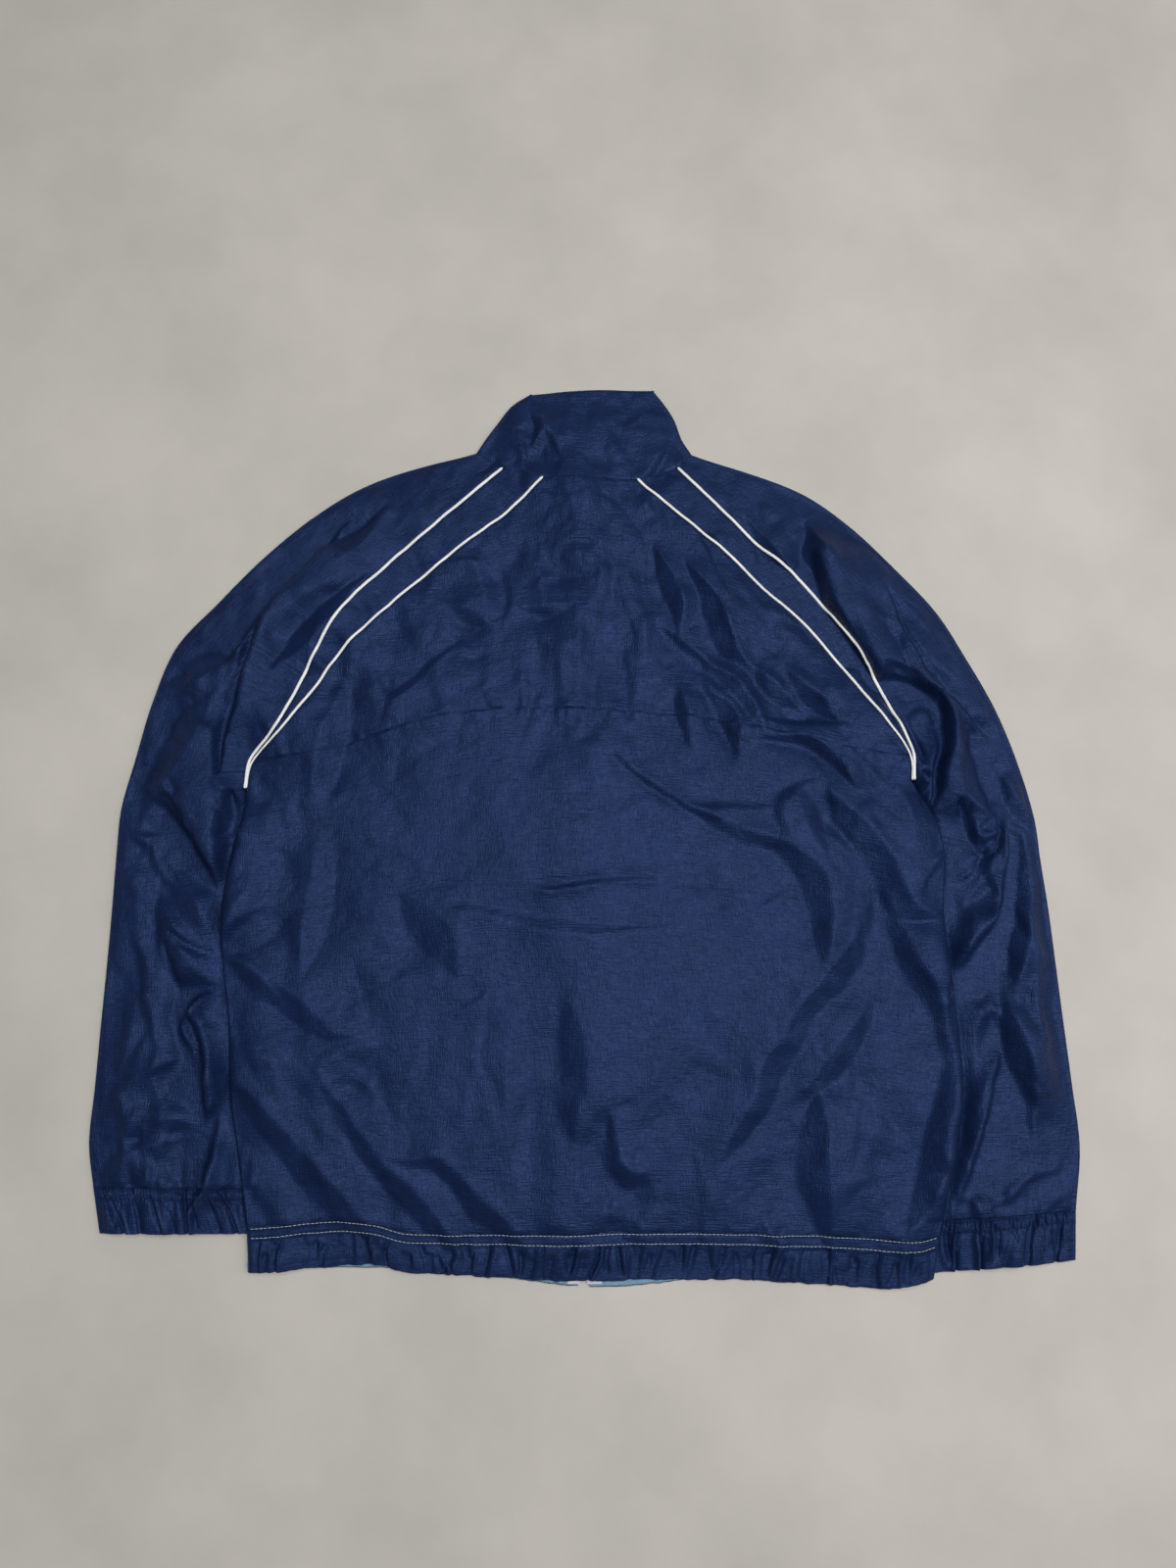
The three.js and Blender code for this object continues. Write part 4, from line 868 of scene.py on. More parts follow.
def fresh_mesh(name, points, faces, uv=None):
    """A smooth object from points in millimetres."""
    mesh = bpy.data.meshes.new(name)
    mesh.from_pydata((np.asarray(points) * MM).tolist(), [], np.asarray(faces).tolist())
    if uv is not None:
        layer = mesh.uv_layers.new(name="cloth")
        corners = np.empty(len(mesh.loops), int)
        mesh.loops.foreach_get("vertex_index", corners)
        layer.data.foreach_set("uv", np.asarray(uv, float)[corners].ravel())
    mesh.polygons.foreach_set("use_smooth", [True] * len(mesh.polygons))
    # A cut edge stays sharp, so that the cloth isn't shaded darker beside a seam
    used = np.empty(len(mesh.loops), int)
    mesh.loops.foreach_get("edge_index", used)
    cut = np.bincount(used, minlength=len(mesh.edges)) == 1
    mesh.attributes.new("sharp_edge", "BOOLEAN", "EDGE").data.foreach_set("value", cut)
    mesh.update()
    obj = bpy.data.objects.new(name, mesh)
    bpy.context.scene.collection.objects.link(obj)
    return obj


def grid_faces(rows, cols, flip):
    j, i = np.meshgrid(np.arange(rows - 1), np.arange(cols - 1), indexing="ij")
    a = (j * cols + i).ravel()
    quads = np.column_stack([a, a + 1, a + cols + 1, a + cols])
    return quads[:, ::-1] if flip else quads


def cloth_uv(grid):
    """Metres across and along the cloth, measured on it."""
    across = np.concatenate([np.zeros((len(grid), 1)), np.cumsum(np.linalg.norm(np.diff(grid, axis=1), axis=2), axis=1)], axis=1)
    along = np.concatenate([np.zeros((1, grid.shape[1])), np.cumsum(np.linalg.norm(np.diff(grid, axis=0), axis=2), axis=0)])
    middle = grid.shape[1] // 2
    across -= across[:, middle:middle + 1]
    return np.column_stack([across.ravel(), np.repeat(along[:, middle], grid.shape[1])]) * MM


def cloth_piece(name, grid, node, material, flip=False, wall=WALL):
    """A thin shell of cloth on a grid of points, which stands for a CAD node."""
    rows, cols = grid.shape[:2]
    obj = fresh_mesh(name, grid.reshape(-1, 3), grid_faces(rows, cols, flip), cloth_uv(grid))
    obj.data.materials.append(material)
    # The shell goes down from the cloth's upper layer, which stays that far off the surface
    place, way = np.empty(rows * cols * 3), np.empty(rows * cols * 3)
    obj.data.vertices.foreach_get("co", place)
    obj.data.vertex_normals.foreach_get("vector", way)
    place[2::3] = np.maximum(place[2::3], np.maximum(way[2::3], 0) * wall * MM + 0.00003)
    obj.data.vertices.foreach_set("co", place)
    obj.data.update()
    thick = obj.modifiers.new("Cloth thickness", "SOLIDIFY")
    thick.thickness = wall * MM
    thick.offset = -1
    thick.use_even_offset = False
    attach(obj, GARMENT)
    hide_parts(node)
    return obj


def add_node(tree, kind, links=(), **settings):
    """Adds a node: links maps an input to a value or to another node's output, settings are its own."""
    made = tree.nodes.new(kind)
    for key, value in settings.items():
        setattr(made, key, value)
    for key, value in dict(links).items():
        if isinstance(value, bpy.types.NodeSocket):
            tree.links.new(value, made.inputs[key])
        else:
            made.inputs[key].default_value = value
    return made


def fresh_material(name):
    """An empty material with its shader joined to its output."""
    material = bpy.data.materials.new(name)
    material.use_nodes = True
    tree = material.node_tree
    tree.nodes.clear()
    shader = add_node(tree, "ShaderNodeBsdfPrincipled")
    add_node(tree, "ShaderNodeOutputMaterial", {"Surface": shader.outputs[0]})
    return material, tree, shader


def set_shader(shader, **values):
    for key, value in values.items():
        shader.inputs[key.replace("_", " ")].default_value = value


def taffeta(name, base, pale, sheen):
    """Crinkled nylon taffeta: plain weave of flat filament yarn, dyed and calendered. To the eye, a
    soft sheen that breaks up on a fine crinkle, with faint streaks along the weft."""
    material, tree, shader = fresh_material(name)
    place = add_node(tree, "ShaderNodeTexCoord")
    # The weft's slubs are about 1.2 mm apart and 14 mm long
    weft_map = add_node(tree, "ShaderNodeMapping", {"Vector": place.outputs["UV"], "Scale": (70, 800, 1)})
    weft = add_node(tree, "ShaderNodeTexNoise", {"Vector": weft_map.outputs[0], "Scale": 1.0, "Detail": 2.0})
    warp_map = add_node(tree, "ShaderNodeMapping", {"Vector": place.outputs["UV"], "Scale": (900, 90, 1)})
    warp = add_node(tree, "ShaderNodeTexNoise", {"Vector": warp_map.outputs[0], "Scale": 1.0, "Detail": 2.0})
    # The crinkle is 4 to 9 mm across
    crinkle = add_node(tree, "ShaderNodeTexNoise", {"Vector": place.outputs["Object"], "Scale": 150.0,
                                                    "Detail": 4.0, "Roughness": 0.62, "Distortion": 0.6})
    mottle = add_node(tree, "ShaderNodeTexNoise", {"Vector": place.outputs["Object"], "Scale": 34.0,
                                                   "Detail": 3.0, "Roughness": 0.6})
    blend = add_node(tree, "ShaderNodeMath", {0: weft.outputs[0], 1: mottle.outputs[0]}, operation="ADD")
    tone = add_node(tree, "ShaderNodeMapRange", {"Value": blend.outputs[0], "From Min": 0.7, "From Max": 1.3})
    colour = add_node(tree, "ShaderNodeMix", {0: tone.outputs[0], 6: (*base, 1), 7: (*pale, 1)}, data_type="RGBA")
    tree.links.new(colour.outputs[2], shader.inputs["Base Color"])
    gloss = add_node(tree, "ShaderNodeMapRange", {"Value": crinkle.outputs[0], "From Min": 0.3, "From Max": 0.7,
                                                  "To Min": 0.35, "To Max": 0.46})
    tree.links.new(gloss.outputs[0], shader.inputs["Roughness"])
    # The bumps are deeper than the real crinkle and yarns, so that they show
    folds = add_node(tree, "ShaderNodeBump", {"Height": crinkle.outputs[0], "Distance": 0.0009, "Strength": 0.8})
    yarns = add_node(tree, "ShaderNodeMath", {0: weft.outputs[0], 1: warp.outputs[0]}, operation="ADD")
    weave = add_node(tree, "ShaderNodeBump", {"Height": yarns.outputs[0], "Distance": 0.0006, "Strength": 0.9,
                                              "Normal": folds.outputs[0]})
    tree.links.new(weave.outputs[0], shader.inputs["Normal"])
    set_shader(shader, IOR=1.53, Specular_IOR_Level=0.36, Specular_Tint=(*sheen, 1), Sheen_Weight=0.0)
    return material


def satin_piping():
    """Bias-cut polyester satin over a cord: white, with a soft gloss and fine slanting threads."""
    material, tree, shader = fresh_material("Polyester satin piping, white")
    trim = bpy.context.scene.jacket_trim
    place = add_node(tree, "ShaderNodeTexCoord")
    slant = add_node(tree, "ShaderNodeMapping", {"Vector": place.outputs["UV"], "Rotation": (0, 0, 0.78),
                                                 "Scale": (1500, 260, 1)})
    thread = add_node(tree, "ShaderNodeTexNoise", {"Vector": slant.outputs[0], "Scale": 1.0, "Detail": 2.0})
    soil = add_node(tree, "ShaderNodeTexNoise", {"Vector": place.outputs["Object"], "Scale": 60.0, "Detail": 3.0})
    tone = add_node(tree, "ShaderNodeMapRange", {"Value": soil.outputs[0], "From Min": 0.35, "From Max": 0.7})
    white = tuple(trim.piping)
    worn = tuple(c * f for c, f in zip(white, (0.82, 0.83, 0.86)))
    colour = add_node(tree, "ShaderNodeMix", {0: tone.outputs[0], 6: (*white, 1), 7: (*worn, 1)}, data_type="RGBA")
    tree.links.new(colour.outputs[2], shader.inputs["Base Color"])
    bump = add_node(tree, "ShaderNodeBump", {"Height": thread.outputs[0], "Distance": 0.00015, "Strength": 0.6})
    tree.links.new(bump.outputs[0], shader.inputs["Normal"])
    set_shader(shader, Roughness=0.55, IOR=1.5, Sheen_Weight=0.1, Sheen_Roughness=0.5)
    return material


def sewing_thread(name, code):
    """Spun polyester thread: two plies twisted together, so its shine is broken along its length."""
    material, tree, shader = fresh_material(name)
    place = add_node(tree, "ShaderNodeTexCoord")
    # The twist has a turn about every 0.9 mm
    plies = add_node(tree, "ShaderNodeTexWave", {"Vector": place.outputs["Object"], "Scale": 350.0, "Distortion": 1.0},
                     bands_direction="DIAGONAL")
    # The darker diagonal bands are painted shade in the grooves between the plies, in a copy of the thread's colour at
    # 0.8.
    shade = tuple(c * 0.8 for c in linear(code))
    colour = add_node(tree, "ShaderNodeMix", {0: plies.outputs["Fac"], 6: (*shade, 1), 7: (*linear(code), 1)},
                      data_type="RGBA")
    tree.links.new(colour.outputs[2], shader.inputs["Base Color"])
    set_shader(shader, Roughness=0.6, IOR=1.5)
    return material


def zip_tape_cloth():
    """Woven polyester zip tape: a flat herringbone of thick yarns, about 0.8 mm apart."""
    material, tree, shader = fresh_material("Woven polyester tape, off-white")
    trim = bpy.context.scene.jacket_zip
    place = add_node(tree, "ShaderNodeTexCoord")
    rib = add_node(tree, "ShaderNodeTexWave", {"Vector": place.outputs["UV"], "Scale": 390.0, "Distortion": 0.4},
                   bands_direction="Y")
    cord = add_node(tree, "ShaderNodeTexWave", {"Vector": place.outputs["UV"], "Scale": 390.0}, bands_direction="X")
    # The crossings of the yarns take the tape's colour and the hollows between them a copy at 0.7: painted shade in the
    # weave.
    yarn = add_node(tree, "ShaderNodeMath", {0: rib.outputs["Fac"], 1: cord.outputs["Fac"]}, operation="MULTIPLY")
    light = tuple(trim.tape)
    dark = tuple(c * 0.7 for c in light)
    colour = add_node(tree, "ShaderNodeMix", {0: yarn.outputs[0], 6: (*dark, 1), 7: (*light, 1)}, data_type="RGBA")
    tree.links.new(colour.outputs[2], shader.inputs["Base Color"])
    bump = add_node(tree, "ShaderNodeBump", {"Height": yarn.outputs[0], "Distance": 0.00015, "Strength": 0.8})
    tree.links.new(bump.outputs[0], shader.inputs["Normal"])
    set_shader(shader, Roughness=0.75, IOR=1.5)
    return material


def moulded_teeth():
    """Acetal, injection moulded on to the tape: grey-brown, waxy and slightly uneven in gloss."""
    material, tree, shader = fresh_material("Moulded acetal, grey-brown")
    place = add_node(tree, "ShaderNodeTexCoord")
    cloud = add_node(tree, "ShaderNodeTexNoise", {"Vector": place.outputs["Object"], "Scale": 420.0, "Detail": 3.0})
    teeth = tuple(bpy.context.scene.jacket_zip.teeth)
    rubbed = tuple(min(1, c * 1.5) for c in teeth)
    tone = add_node(tree, "ShaderNodeMapRange", {"Value": cloud.outputs[0], "From Min": 0.4, "From Max": 0.75})
    colour = add_node(tree, "ShaderNodeMix", {0: tone.outputs[0], 6: (*teeth, 1), 7: (*rubbed, 1)}, data_type="RGBA")
    tree.links.new(colour.outputs[2], shader.inputs["Base Color"])
    gloss = add_node(tree, "ShaderNodeMapRange", {"Value": cloud.outputs[0], "To Min": 0.3, "To Max": 0.5})
    tree.links.new(gloss.outputs[0], shader.inputs["Roughness"])
    set_shader(shader, IOR=1.48)
    return material


def lacquered_zinc():
    """Die-cast zinc alloy under a clear lacquer: grey, with fine orange peel and brighter rubbed patches here and
    there.
    """
    material, tree, shader = fresh_material("Lacquered die-cast zinc")
    metal = tuple(bpy.context.scene.jacket_zip.metal)
    place = add_node(tree, "ShaderNodeTexCoord")
    peel = add_node(tree, "ShaderNodeTexNoise", {"Vector": place.outputs["Object"], "Scale": 900.0, "Detail": 2.0})
    rub = add_node(tree, "ShaderNodeTexNoise", {"Vector": place.outputs["Object"], "Scale": 260.0, "Detail": 4.0})
    tone = add_node(tree, "ShaderNodeMapRange", {"Value": rub.outputs[0], "From Min": 0.45, "From Max": 0.7})
    bright = tuple(min(1, c * 1.6) for c in metal)
    colour = add_node(tree, "ShaderNodeMix", {0: tone.outputs[0], 6: (*metal, 1), 7: (*bright, 1)}, data_type="RGBA")
    tree.links.new(colour.outputs[2], shader.inputs["Base Color"])
    gloss = add_node(tree, "ShaderNodeMapRange", {"Value": rub.outputs[0], "To Min": 0.25, "To Max": 0.45})
    tree.links.new(gloss.outputs[0], shader.inputs["Roughness"])
    bump = add_node(tree, "ShaderNodeBump", {"Height": peel.outputs[0], "Distance": 0.00003, "Strength": 0.5})
    tree.links.new(bump.outputs[0], shader.inputs["Normal"])
    set_shader(shader, Metallic=0.9, Coat_Weight=0.5, Coat_Roughness=0.15)
    return material


MAKERS = {
    "nylon_navy": lambda: taffeta("Nylon taffeta, navy", tuple(bpy.context.scene.jacket_cloth.navy),
                                  tuple(1.7 * c for c in bpy.context.scene.jacket_cloth.navy), (0.28, 0.44, 1.0)),
    "nylon_light_blue": lambda: taffeta("Nylon taffeta, light blue", tuple(bpy.context.scene.jacket_cloth.light_blue),
                                        tuple(1.12 * c for c in bpy.context.scene.jacket_cloth.light_blue),
                                        (0.8, 0.9, 1.0)),
    "piping_white": satin_piping,
    "thread": lambda: sewing_thread("Spun polyester thread, off-white", "#D5DDE2"),
    "zip_tape": zip_tape_cloth,
    "zip_teeth": moulded_teeth,
    "zip_metal": lacquered_zinc,
}
MATERIALS = {}


def finish_of(key):
    """The material for a finish, made when it is first asked for."""
    if key not in MATERIALS:
        MATERIALS[key] = MAKERS[key]()
    return MATERIALS[key]


def with_height(plan, height):
    return np.concatenate([plan, height[..., None]], axis=2)


def back_side(half, fractions):
    """The back's side line, from the hem's seam up past the armpit to the yoke's seam."""
    tip = half.inset(np.linspace(ARMPIT - 1, ARMPIT, 12))
    side = half.side[1:]
    f = np.linspace(0, 1, len(half.side))[1:]
    fade = 1 - np.clip((20 * f - 1) / 3, 0, 1)
    side = side + np.column_stack([(tip[-1, 0] - half.side[0, 0]) * fade, np.zeros(len(f))])
    line = np.vstack([tip, side])[::-1]
    return resample(line, fractions)


def side_distance(plan):
    """Distance of each point of a panel from the body's nearer side edge."""
    x, y = plan[..., 0].ravel(), plan[..., 1].ravel()
    found = np.min([nearest(half.body_edge, x, y)[0] for half in HALVES], axis=0)
    return found.reshape(plan.shape[:2])


def below_armpit(y):
    """Grows from 0 to 1 below the armpit, where the body has a free edge."""
    return smoothstep(14, -10, y)


class ClothSettings(bpy.types.PropertyGroup):
    navy: bpy.props.FloatVectorProperty(
        name="Navy", description="Colour of the body, sleeves and collar", subtype="COLOR", size=3,
        min=0, max=1, default=linear("#0F1B38"))
    light_blue: bpy.props.FloatVectorProperty(
        name="Light blue", description="Colour of the fronts", subtype="COLOR", size=3,
        min=0, max=1, default=linear("#6E8DA4"))
    air: bpy.props.FloatProperty(
        name="Air", description="How far the back stands off the fronts", unit="LENGTH",
        min=0.001, max=0.02, default=0.006)
    fold_strength: bpy.props.FloatProperty(
        name="Folds", description="Depth of the folds, as a share of the photographed ones",
        min=0, max=1.5, default=1.0)
    crinkle: bpy.props.FloatProperty(
        name="Crinkle", description="Height of the small wrinkles, as a share of the usual one",
        min=0, max=3, default=1.0)


class TrimSettings(bpy.types.PropertyGroup):
    piping: bpy.props.FloatVectorProperty(
        name="Piping", description="Colour of the piping", subtype="COLOR", size=3,
        min=0, max=1, default=linear("#F3F2EE"))
    outer_width: bpy.props.FloatProperty(
        name="Outer piping", description="Width of the piping beside the sleeve", unit="LENGTH",
        min=0.002, max=0.006, default=0.0028)
    inner_width: bpy.props.FloatProperty(
        name="Inner piping", description="Width of the piping beside the yoke", unit="LENGTH",
        min=0.002, max=0.006, default=0.0025)
    thread_width: bpy.props.FloatProperty(
        name="Thread", description="Width of a stitch's thread", unit="LENGTH",
        min=0.0003, max=0.002, default=0.0004)
    stitch: bpy.props.FloatProperty(
        name="Stitch", description="Length of one stitch", unit="LENGTH",
        min=0.001, max=0.006, default=0.0030)
    row_gap: bpy.props.FloatProperty(
        name="Row gap", description="Distance between the hem's two rows of stitching", unit="LENGTH",
        min=0.003, max=0.015, default=0.0081)


class ZipSettings(bpy.types.PropertyGroup):
    tape: bpy.props.FloatVectorProperty(
        name="Tape", description="Colour of the zip's tapes", subtype="COLOR", size=3,
        min=0, max=1, default=linear("#DDE0E2"))
    teeth: bpy.props.FloatVectorProperty(
        name="Teeth", description="Colour of the zip's teeth", subtype="COLOR", size=3,
        min=0, max=1, default=linear("#6E675F"))
    metal: bpy.props.FloatVectorProperty(
        name="Metal", description="Colour of the slider and its pull", subtype="COLOR", size=3,
        min=0, max=1, default=linear("#85827C"))
    pitch: bpy.props.FloatProperty(
        name="Tooth pitch", description="Distance from one tooth to the next on the same tape", unit="LENGTH",
        min=0.0015, max=0.005, default=0.0028)


class StageSettings(bpy.types.PropertyGroup):
    floor: bpy.props.FloatVectorProperty(
        name="Floor", description="Colour of the floor", subtype="COLOR", size=3,
        min=0, max=1, default=linear("#C4C0B8"))
    tilt: bpy.props.FloatProperty(
        name="Tilt", description="Tilt of the camera off straight down", subtype="ANGLE",
        min=0, max=1.2, default=math.radians(10))
    distance: bpy.props.FloatProperty(
        name="Distance", description="Distance of the camera from the jacket", unit="LENGTH",
        min=0.4, max=4, default=1.05)


class BuildBack(bpy.types.Operator):
    """Builds the yoke and the back below it"""

    bl_idname = "jacket.back"
    bl_label = "Back"

    def execute(self, context):
        u = steps_over(500, CLOTH_STEP, False, False)
        v = steps_over(250, CLOTH_STEP, True, False)
        seam = smooth_line(YOKE_SEAM, u)
        top = straight(LEFT.inset(0)[0], RIGHT.inset(0)[0], u)
        spans = (ARMPIT - 1) * (1 - v)
        plan = draw_in(patch(seam, top, LEFT.inset(spans), RIGHT.inset(spans), u, v), first=False)
        yoke = cloth_piece("yoke", with_height(plan, top_height(plan[..., 0], plan[..., 1])), "back_yoke",
                           finish_of("nylon_navy"))

        u = steps_over(600, CLOTH_STEP)
        v = steps_over(420, CLOTH_STEP, False, True)
        plan = patch(smooth_line(HEM_SEAM, u), smooth_line(YOKE_SEAM, u), back_side(LEFT, v), back_side(RIGHT, v), u, v)
        z = top_height(plan[..., 0], plan[..., 1])
        z -= rolled(side_distance(plan)) * below_armpit(plan[..., 1])
        back = cloth_piece("back", with_height(plan, z), "back_lower", finish_of("nylon_navy"))
        return {"FINISHED"}


class BuildInsets(bpy.types.Operator):
    """Builds the two strips between the pipings"""

    bl_idname = "jacket.insets"
    bl_label = "Insets"

    def execute(self, context):
        for half in HALVES:
            u = np.linspace(0, 1, 17)
            v = np.linspace(0, 1, 141)
            spans = v * ARMPIT
            inner, outer = half.inset(spans), half.seam(spans)
            plan = patch(straight(inner[0], outer[0], u), straight(inner[-1], outer[-1], u), inner, outer, u, v)
            plan = draw_in(plan)
            grid = with_height(plan, top_height(plan[..., 0], plan[..., 1]))
            strip = cloth_piece(f"inset_strip_{half.name}", grid, f"inset_{half.name}", finish_of("nylon_navy"),
                                flip=half.sign > 0)
        return {"FINISHED"}


def front_raglan(half, spans):
    """The front's raglan seam follows the back's and moves over to the front neck at its top."""
    seam = half.seam(spans)
    share = np.maximum(0, 1 - spans / ARMPIT)[:, None]
    neck = np.array([half.sign * NECK_RAGLAN[0], NECK_RAGLAN[1]])
    return seam + share * (neck - half.seam(0)[0])


def folded_tube(below, above, sleeve, extra_top=None, closed=None):
    """Sections that lie below, roll over at the fold and come back above. below and above are plans
    with a row for each section: below ends at the fold, above starts there. closed says how far each
    section's two ends meet at an underarm seam."""
    fold, following = below[:, -1], above[:, 1]
    away = fold - following
    away /= np.linalg.norm(away, axis=1, keepdims=True)
    lower_z = np.zeros(below.shape[:2]) if sleeve else lift(below[..., 0].ravel(), below[..., 1].ravel()).reshape(below.shape[:2])
    fold_base = lower_z[:, -1]
    wave = np.maximum(0, noise(below[..., 0], below[..., 1], 30, 71)) * 1.3
    inner = np.linalg.norm(below - below[:, -1:], axis=2)
    edge = np.linalg.norm(below - below[:, :1], axis=2)
    lower_z = lower_z + wave * smoothstep(2, 16, inner) * smoothstep(2, 16, edge)
    upper_z = top_height(above[..., 0], above[..., 1], sleeve)
    if extra_top is not None:
        upper_z = upper_z + extra_top
    from_fold = np.linalg.norm(above - above[:, :1], axis=2)
    settle = smoothstep(6, 0, from_fold)
    upper_z = upper_z * (1 - settle) + (fold_base[:, None] + FOLD_EDGE) * settle
    if closed is not None:
        from_seam = np.linalg.norm(above - above[:, -1:], axis=2)
        upper_z = upper_z - rolled(from_seam) * closed[:, None]
        lower_z = lower_z + rolled(edge) * closed[:, None]
    rolls = []
    for angle in ROLL_ANGLES:
        a = math.radians(angle)
        place = fold + away * ROLL * math.cos(a)
        rolls.append(np.column_stack([place, fold_base + ROLL + ROLL * math.sin(a)]))
    return np.concatenate([with_height(below, lower_z), np.stack(rolls, axis=1), with_height(above, upper_z)], axis=1)


def sleeve_inwards(half, spans):
    """How far the sleeve's hidden edge goes in under the body at the armpit."""
    way = half.seam(spans) - half.fold(spans)
    pocket = smoothstep(ARMPIT - 0.1, ARMPIT + 0.4, spans) * (1 - smoothstep(ARMPIT + 1.7, ARMPIT + 2.4, spans))
    return way / np.linalg.norm(way, axis=1, keepdims=True) * (7 * pocket)[:, None], pocket


def row_mix(start, end, fractions):
    """Points between two lines, one row for each pair of their points."""
    f = np.asarray(fractions)[None, :, None]
    return start[:, None] * (1 - f) + end[:, None] * f


class BuildSleeves(bpy.types.Operator):
    """Builds the two raglan sleeves, each folded at its outer edge and tucked under the body"""

    bl_idname = "jacket.sleeves"
    bl_label = "Sleeves"

    def execute(self, context):
        for half in HALVES:
            spans = np.linspace(0, half.rows, half.rows * 17 + 1)
            seam, edge = half.seam(spans), half.fold(spans)
            way = seam - edge
            fold = edge + way / np.linalg.norm(way, axis=1, keepdims=True) * ROLL
            # The fold starts at the collar's corner
            corner = np.array(half.collar_side[0]) - (0, 0.3) - fold[0]
            fold += corner * np.clip(1 - spans, 0, 1)[:, None] ** 2
            start = np.where((spans < ARMPIT)[:, None], front_raglan(half, np.minimum(spans, ARMPIT)), seam)
            inwards, pocket = sleeve_inwards(half, spans)
            seam, start = seam + inwards, start + inwards
            above = row_mix(fold, seam, steps_over(130, CLOTH_STEP))
            below = row_mix(start, fold, steps_over(130, LOWER_STEP))
            above = draw_in(above, start=False)
            below = draw_in(below, end=False)
            grid = folded_tube(below, above, True, closed=smoothstep(ARMPIT, ARMPIT + 0.6, spans))
            from_seam = np.linalg.norm(grid[..., :2] - grid[:, -1:, :2], axis=2)
            pressed = smoothstep(16, 5, from_seam) * pocket[:, None]
            grid[..., 2] *= 1 - 0.55 * pressed
            sleeve = cloth_piece(f"sleeve_cloth_{half.name}", grid, f"sleeve_{half.name}", finish_of("nylon_navy"),
                                 flip=half.sign < 0)
        return {"FINISHED"}


def pleat_field(length, seed, spacing, depth):
    """Uneven pleats along a gathered band: a place, a width, a depth, a slant and a span of each."""
    rng = np.random.default_rng(seed)
    pleats, at = [], 0.0
    while at < length:
        at += spacing * rng.uniform(0.55, 1.45)
        from_top = rng.uniform() < 0.7
        pleats.append({
            "at": at, "width": rng.uniform(1.3, 3.8), "depth": depth * rng.uniform(0.35, 1.0),
            "slant": rng.uniform(-0.22, 0.22), "bow": rng.uniform(-2.5, 2.5),
            "from": 0.0 if from_top else rng.uniform(0.2, 0.5), "to": rng.uniform(0.6, 1.3),
            "sharp": rng.uniform() < 0.35,
        })
    return pleats


def pleated(along, down, pleats):
    """Height of the pleats. down is 0 at the band's top and 1 at its bottom."""
    rise = np.zeros(along.shape)
    for p in pleats:
        centre = p["at"] + p["slant"] * 38 * down + p["bow"] * np.sin(np.pi * down)
        gap = along - centre
        span = smoothstep(p["from"] - 0.12, p["from"] + 0.12, down) * (1 - smoothstep(p["to"], p["to"] + 0.3, down))
        if p["sharp"]:
            shape = 0.6 * np.exp(-((gap - 1.6 * p["width"]) / p["width"]) ** 2) - np.exp(-np.abs(gap / (0.5 * p["width"])))
        else:
            shape = -np.exp(-(gap / p["width"]) ** 2)
        rise += p["depth"] * span * shape
    return rise


def gathers(along, down_mm, pitch, seed, top, bottom, height):
    """Close, narrow gathers between two levels of a band, such as two rows of stitching."""
    drift = 0.9 * noise(along, down_mm * 2, 9, seed)
    ripple = np.cos(2 * np.pi * (along + drift) / pitch)
    strength = 0.65 + 0.5 * noise(along, along * 0, 17, seed + 1)
    zone = smoothstep(top - 1.2, top + 1.2, down_mm) * (1 - smoothstep(bottom - 1.2, bottom + 1.6, down_mm))
    return height * ripple * strength * zone


class BuildCuffs(bpy.types.Operator):
    """Builds the gathered elastic cuffs"""

    bl_idname = "jacket.cuffs"
    bl_label = "Cuffs"

    def execute(self, context):
        for half in HALVES:
            top_inner, top_fold = half.seam(half.rows)[0], half.fold(half.rows)[0]
            v = np.linspace(0, 1, 29)
            seam = straight(top_inner, half.cuff[0], v)
            edge = straight(top_fold, half.cuff[1], v)
            width = np.linalg.norm(top_fold - top_inner)
            depth = np.linalg.norm(half.cuff[1] - top_fold)
            way = seam - edge
            fold = edge + way / np.linalg.norm(way, axis=1, keepdims=True) * ROLL
            above = draw_in(row_mix(fold, seam, steps_over(width, 0.85)), start=False, last=False)
            below = draw_in(row_mix(seam, fold, steps_over(width, 2.4)), end=False, last=False)
            along = np.linalg.norm(above - above[:, :1], axis=2)
            down = np.repeat(v[:, None], above.shape[1], axis=1)
            seed = 301 if half.sign < 0 else 401
            extra = pleated(along, down, pleat_field(width, seed, 7.6, 5.0))
            extra += gathers(along, down * depth, 2.9, seed + 7, 1.0, 9.5, 1.5)
            extra = np.maximum(extra + 1.2, -2.8)
            extra -= 0.5 * np.exp(-((down * depth - 10) / 1.1) ** 2)
            hidden = under_body(above[..., 0].ravel(), above[..., 1].ravel()).reshape(along.shape)
            extra = np.where(hidden, 0, extra) * smoothstep(0, 5, along)
            grid = folded_tube(below, above, True, extra, closed=np.ones(len(v)))
            grid[..., 2] = np.maximum(grid[..., 2], 0)
            cuff = cloth_piece(f"cuff_cloth_{half.name}", grid, f"cuff_{half.name}", finish_of("nylon_navy"),
                               flip=half.sign < 0, wall=1.3)
        return {"FINISHED"}


HEM_PLEATS = pleat_field(575, 77, 8.6, 4.6)


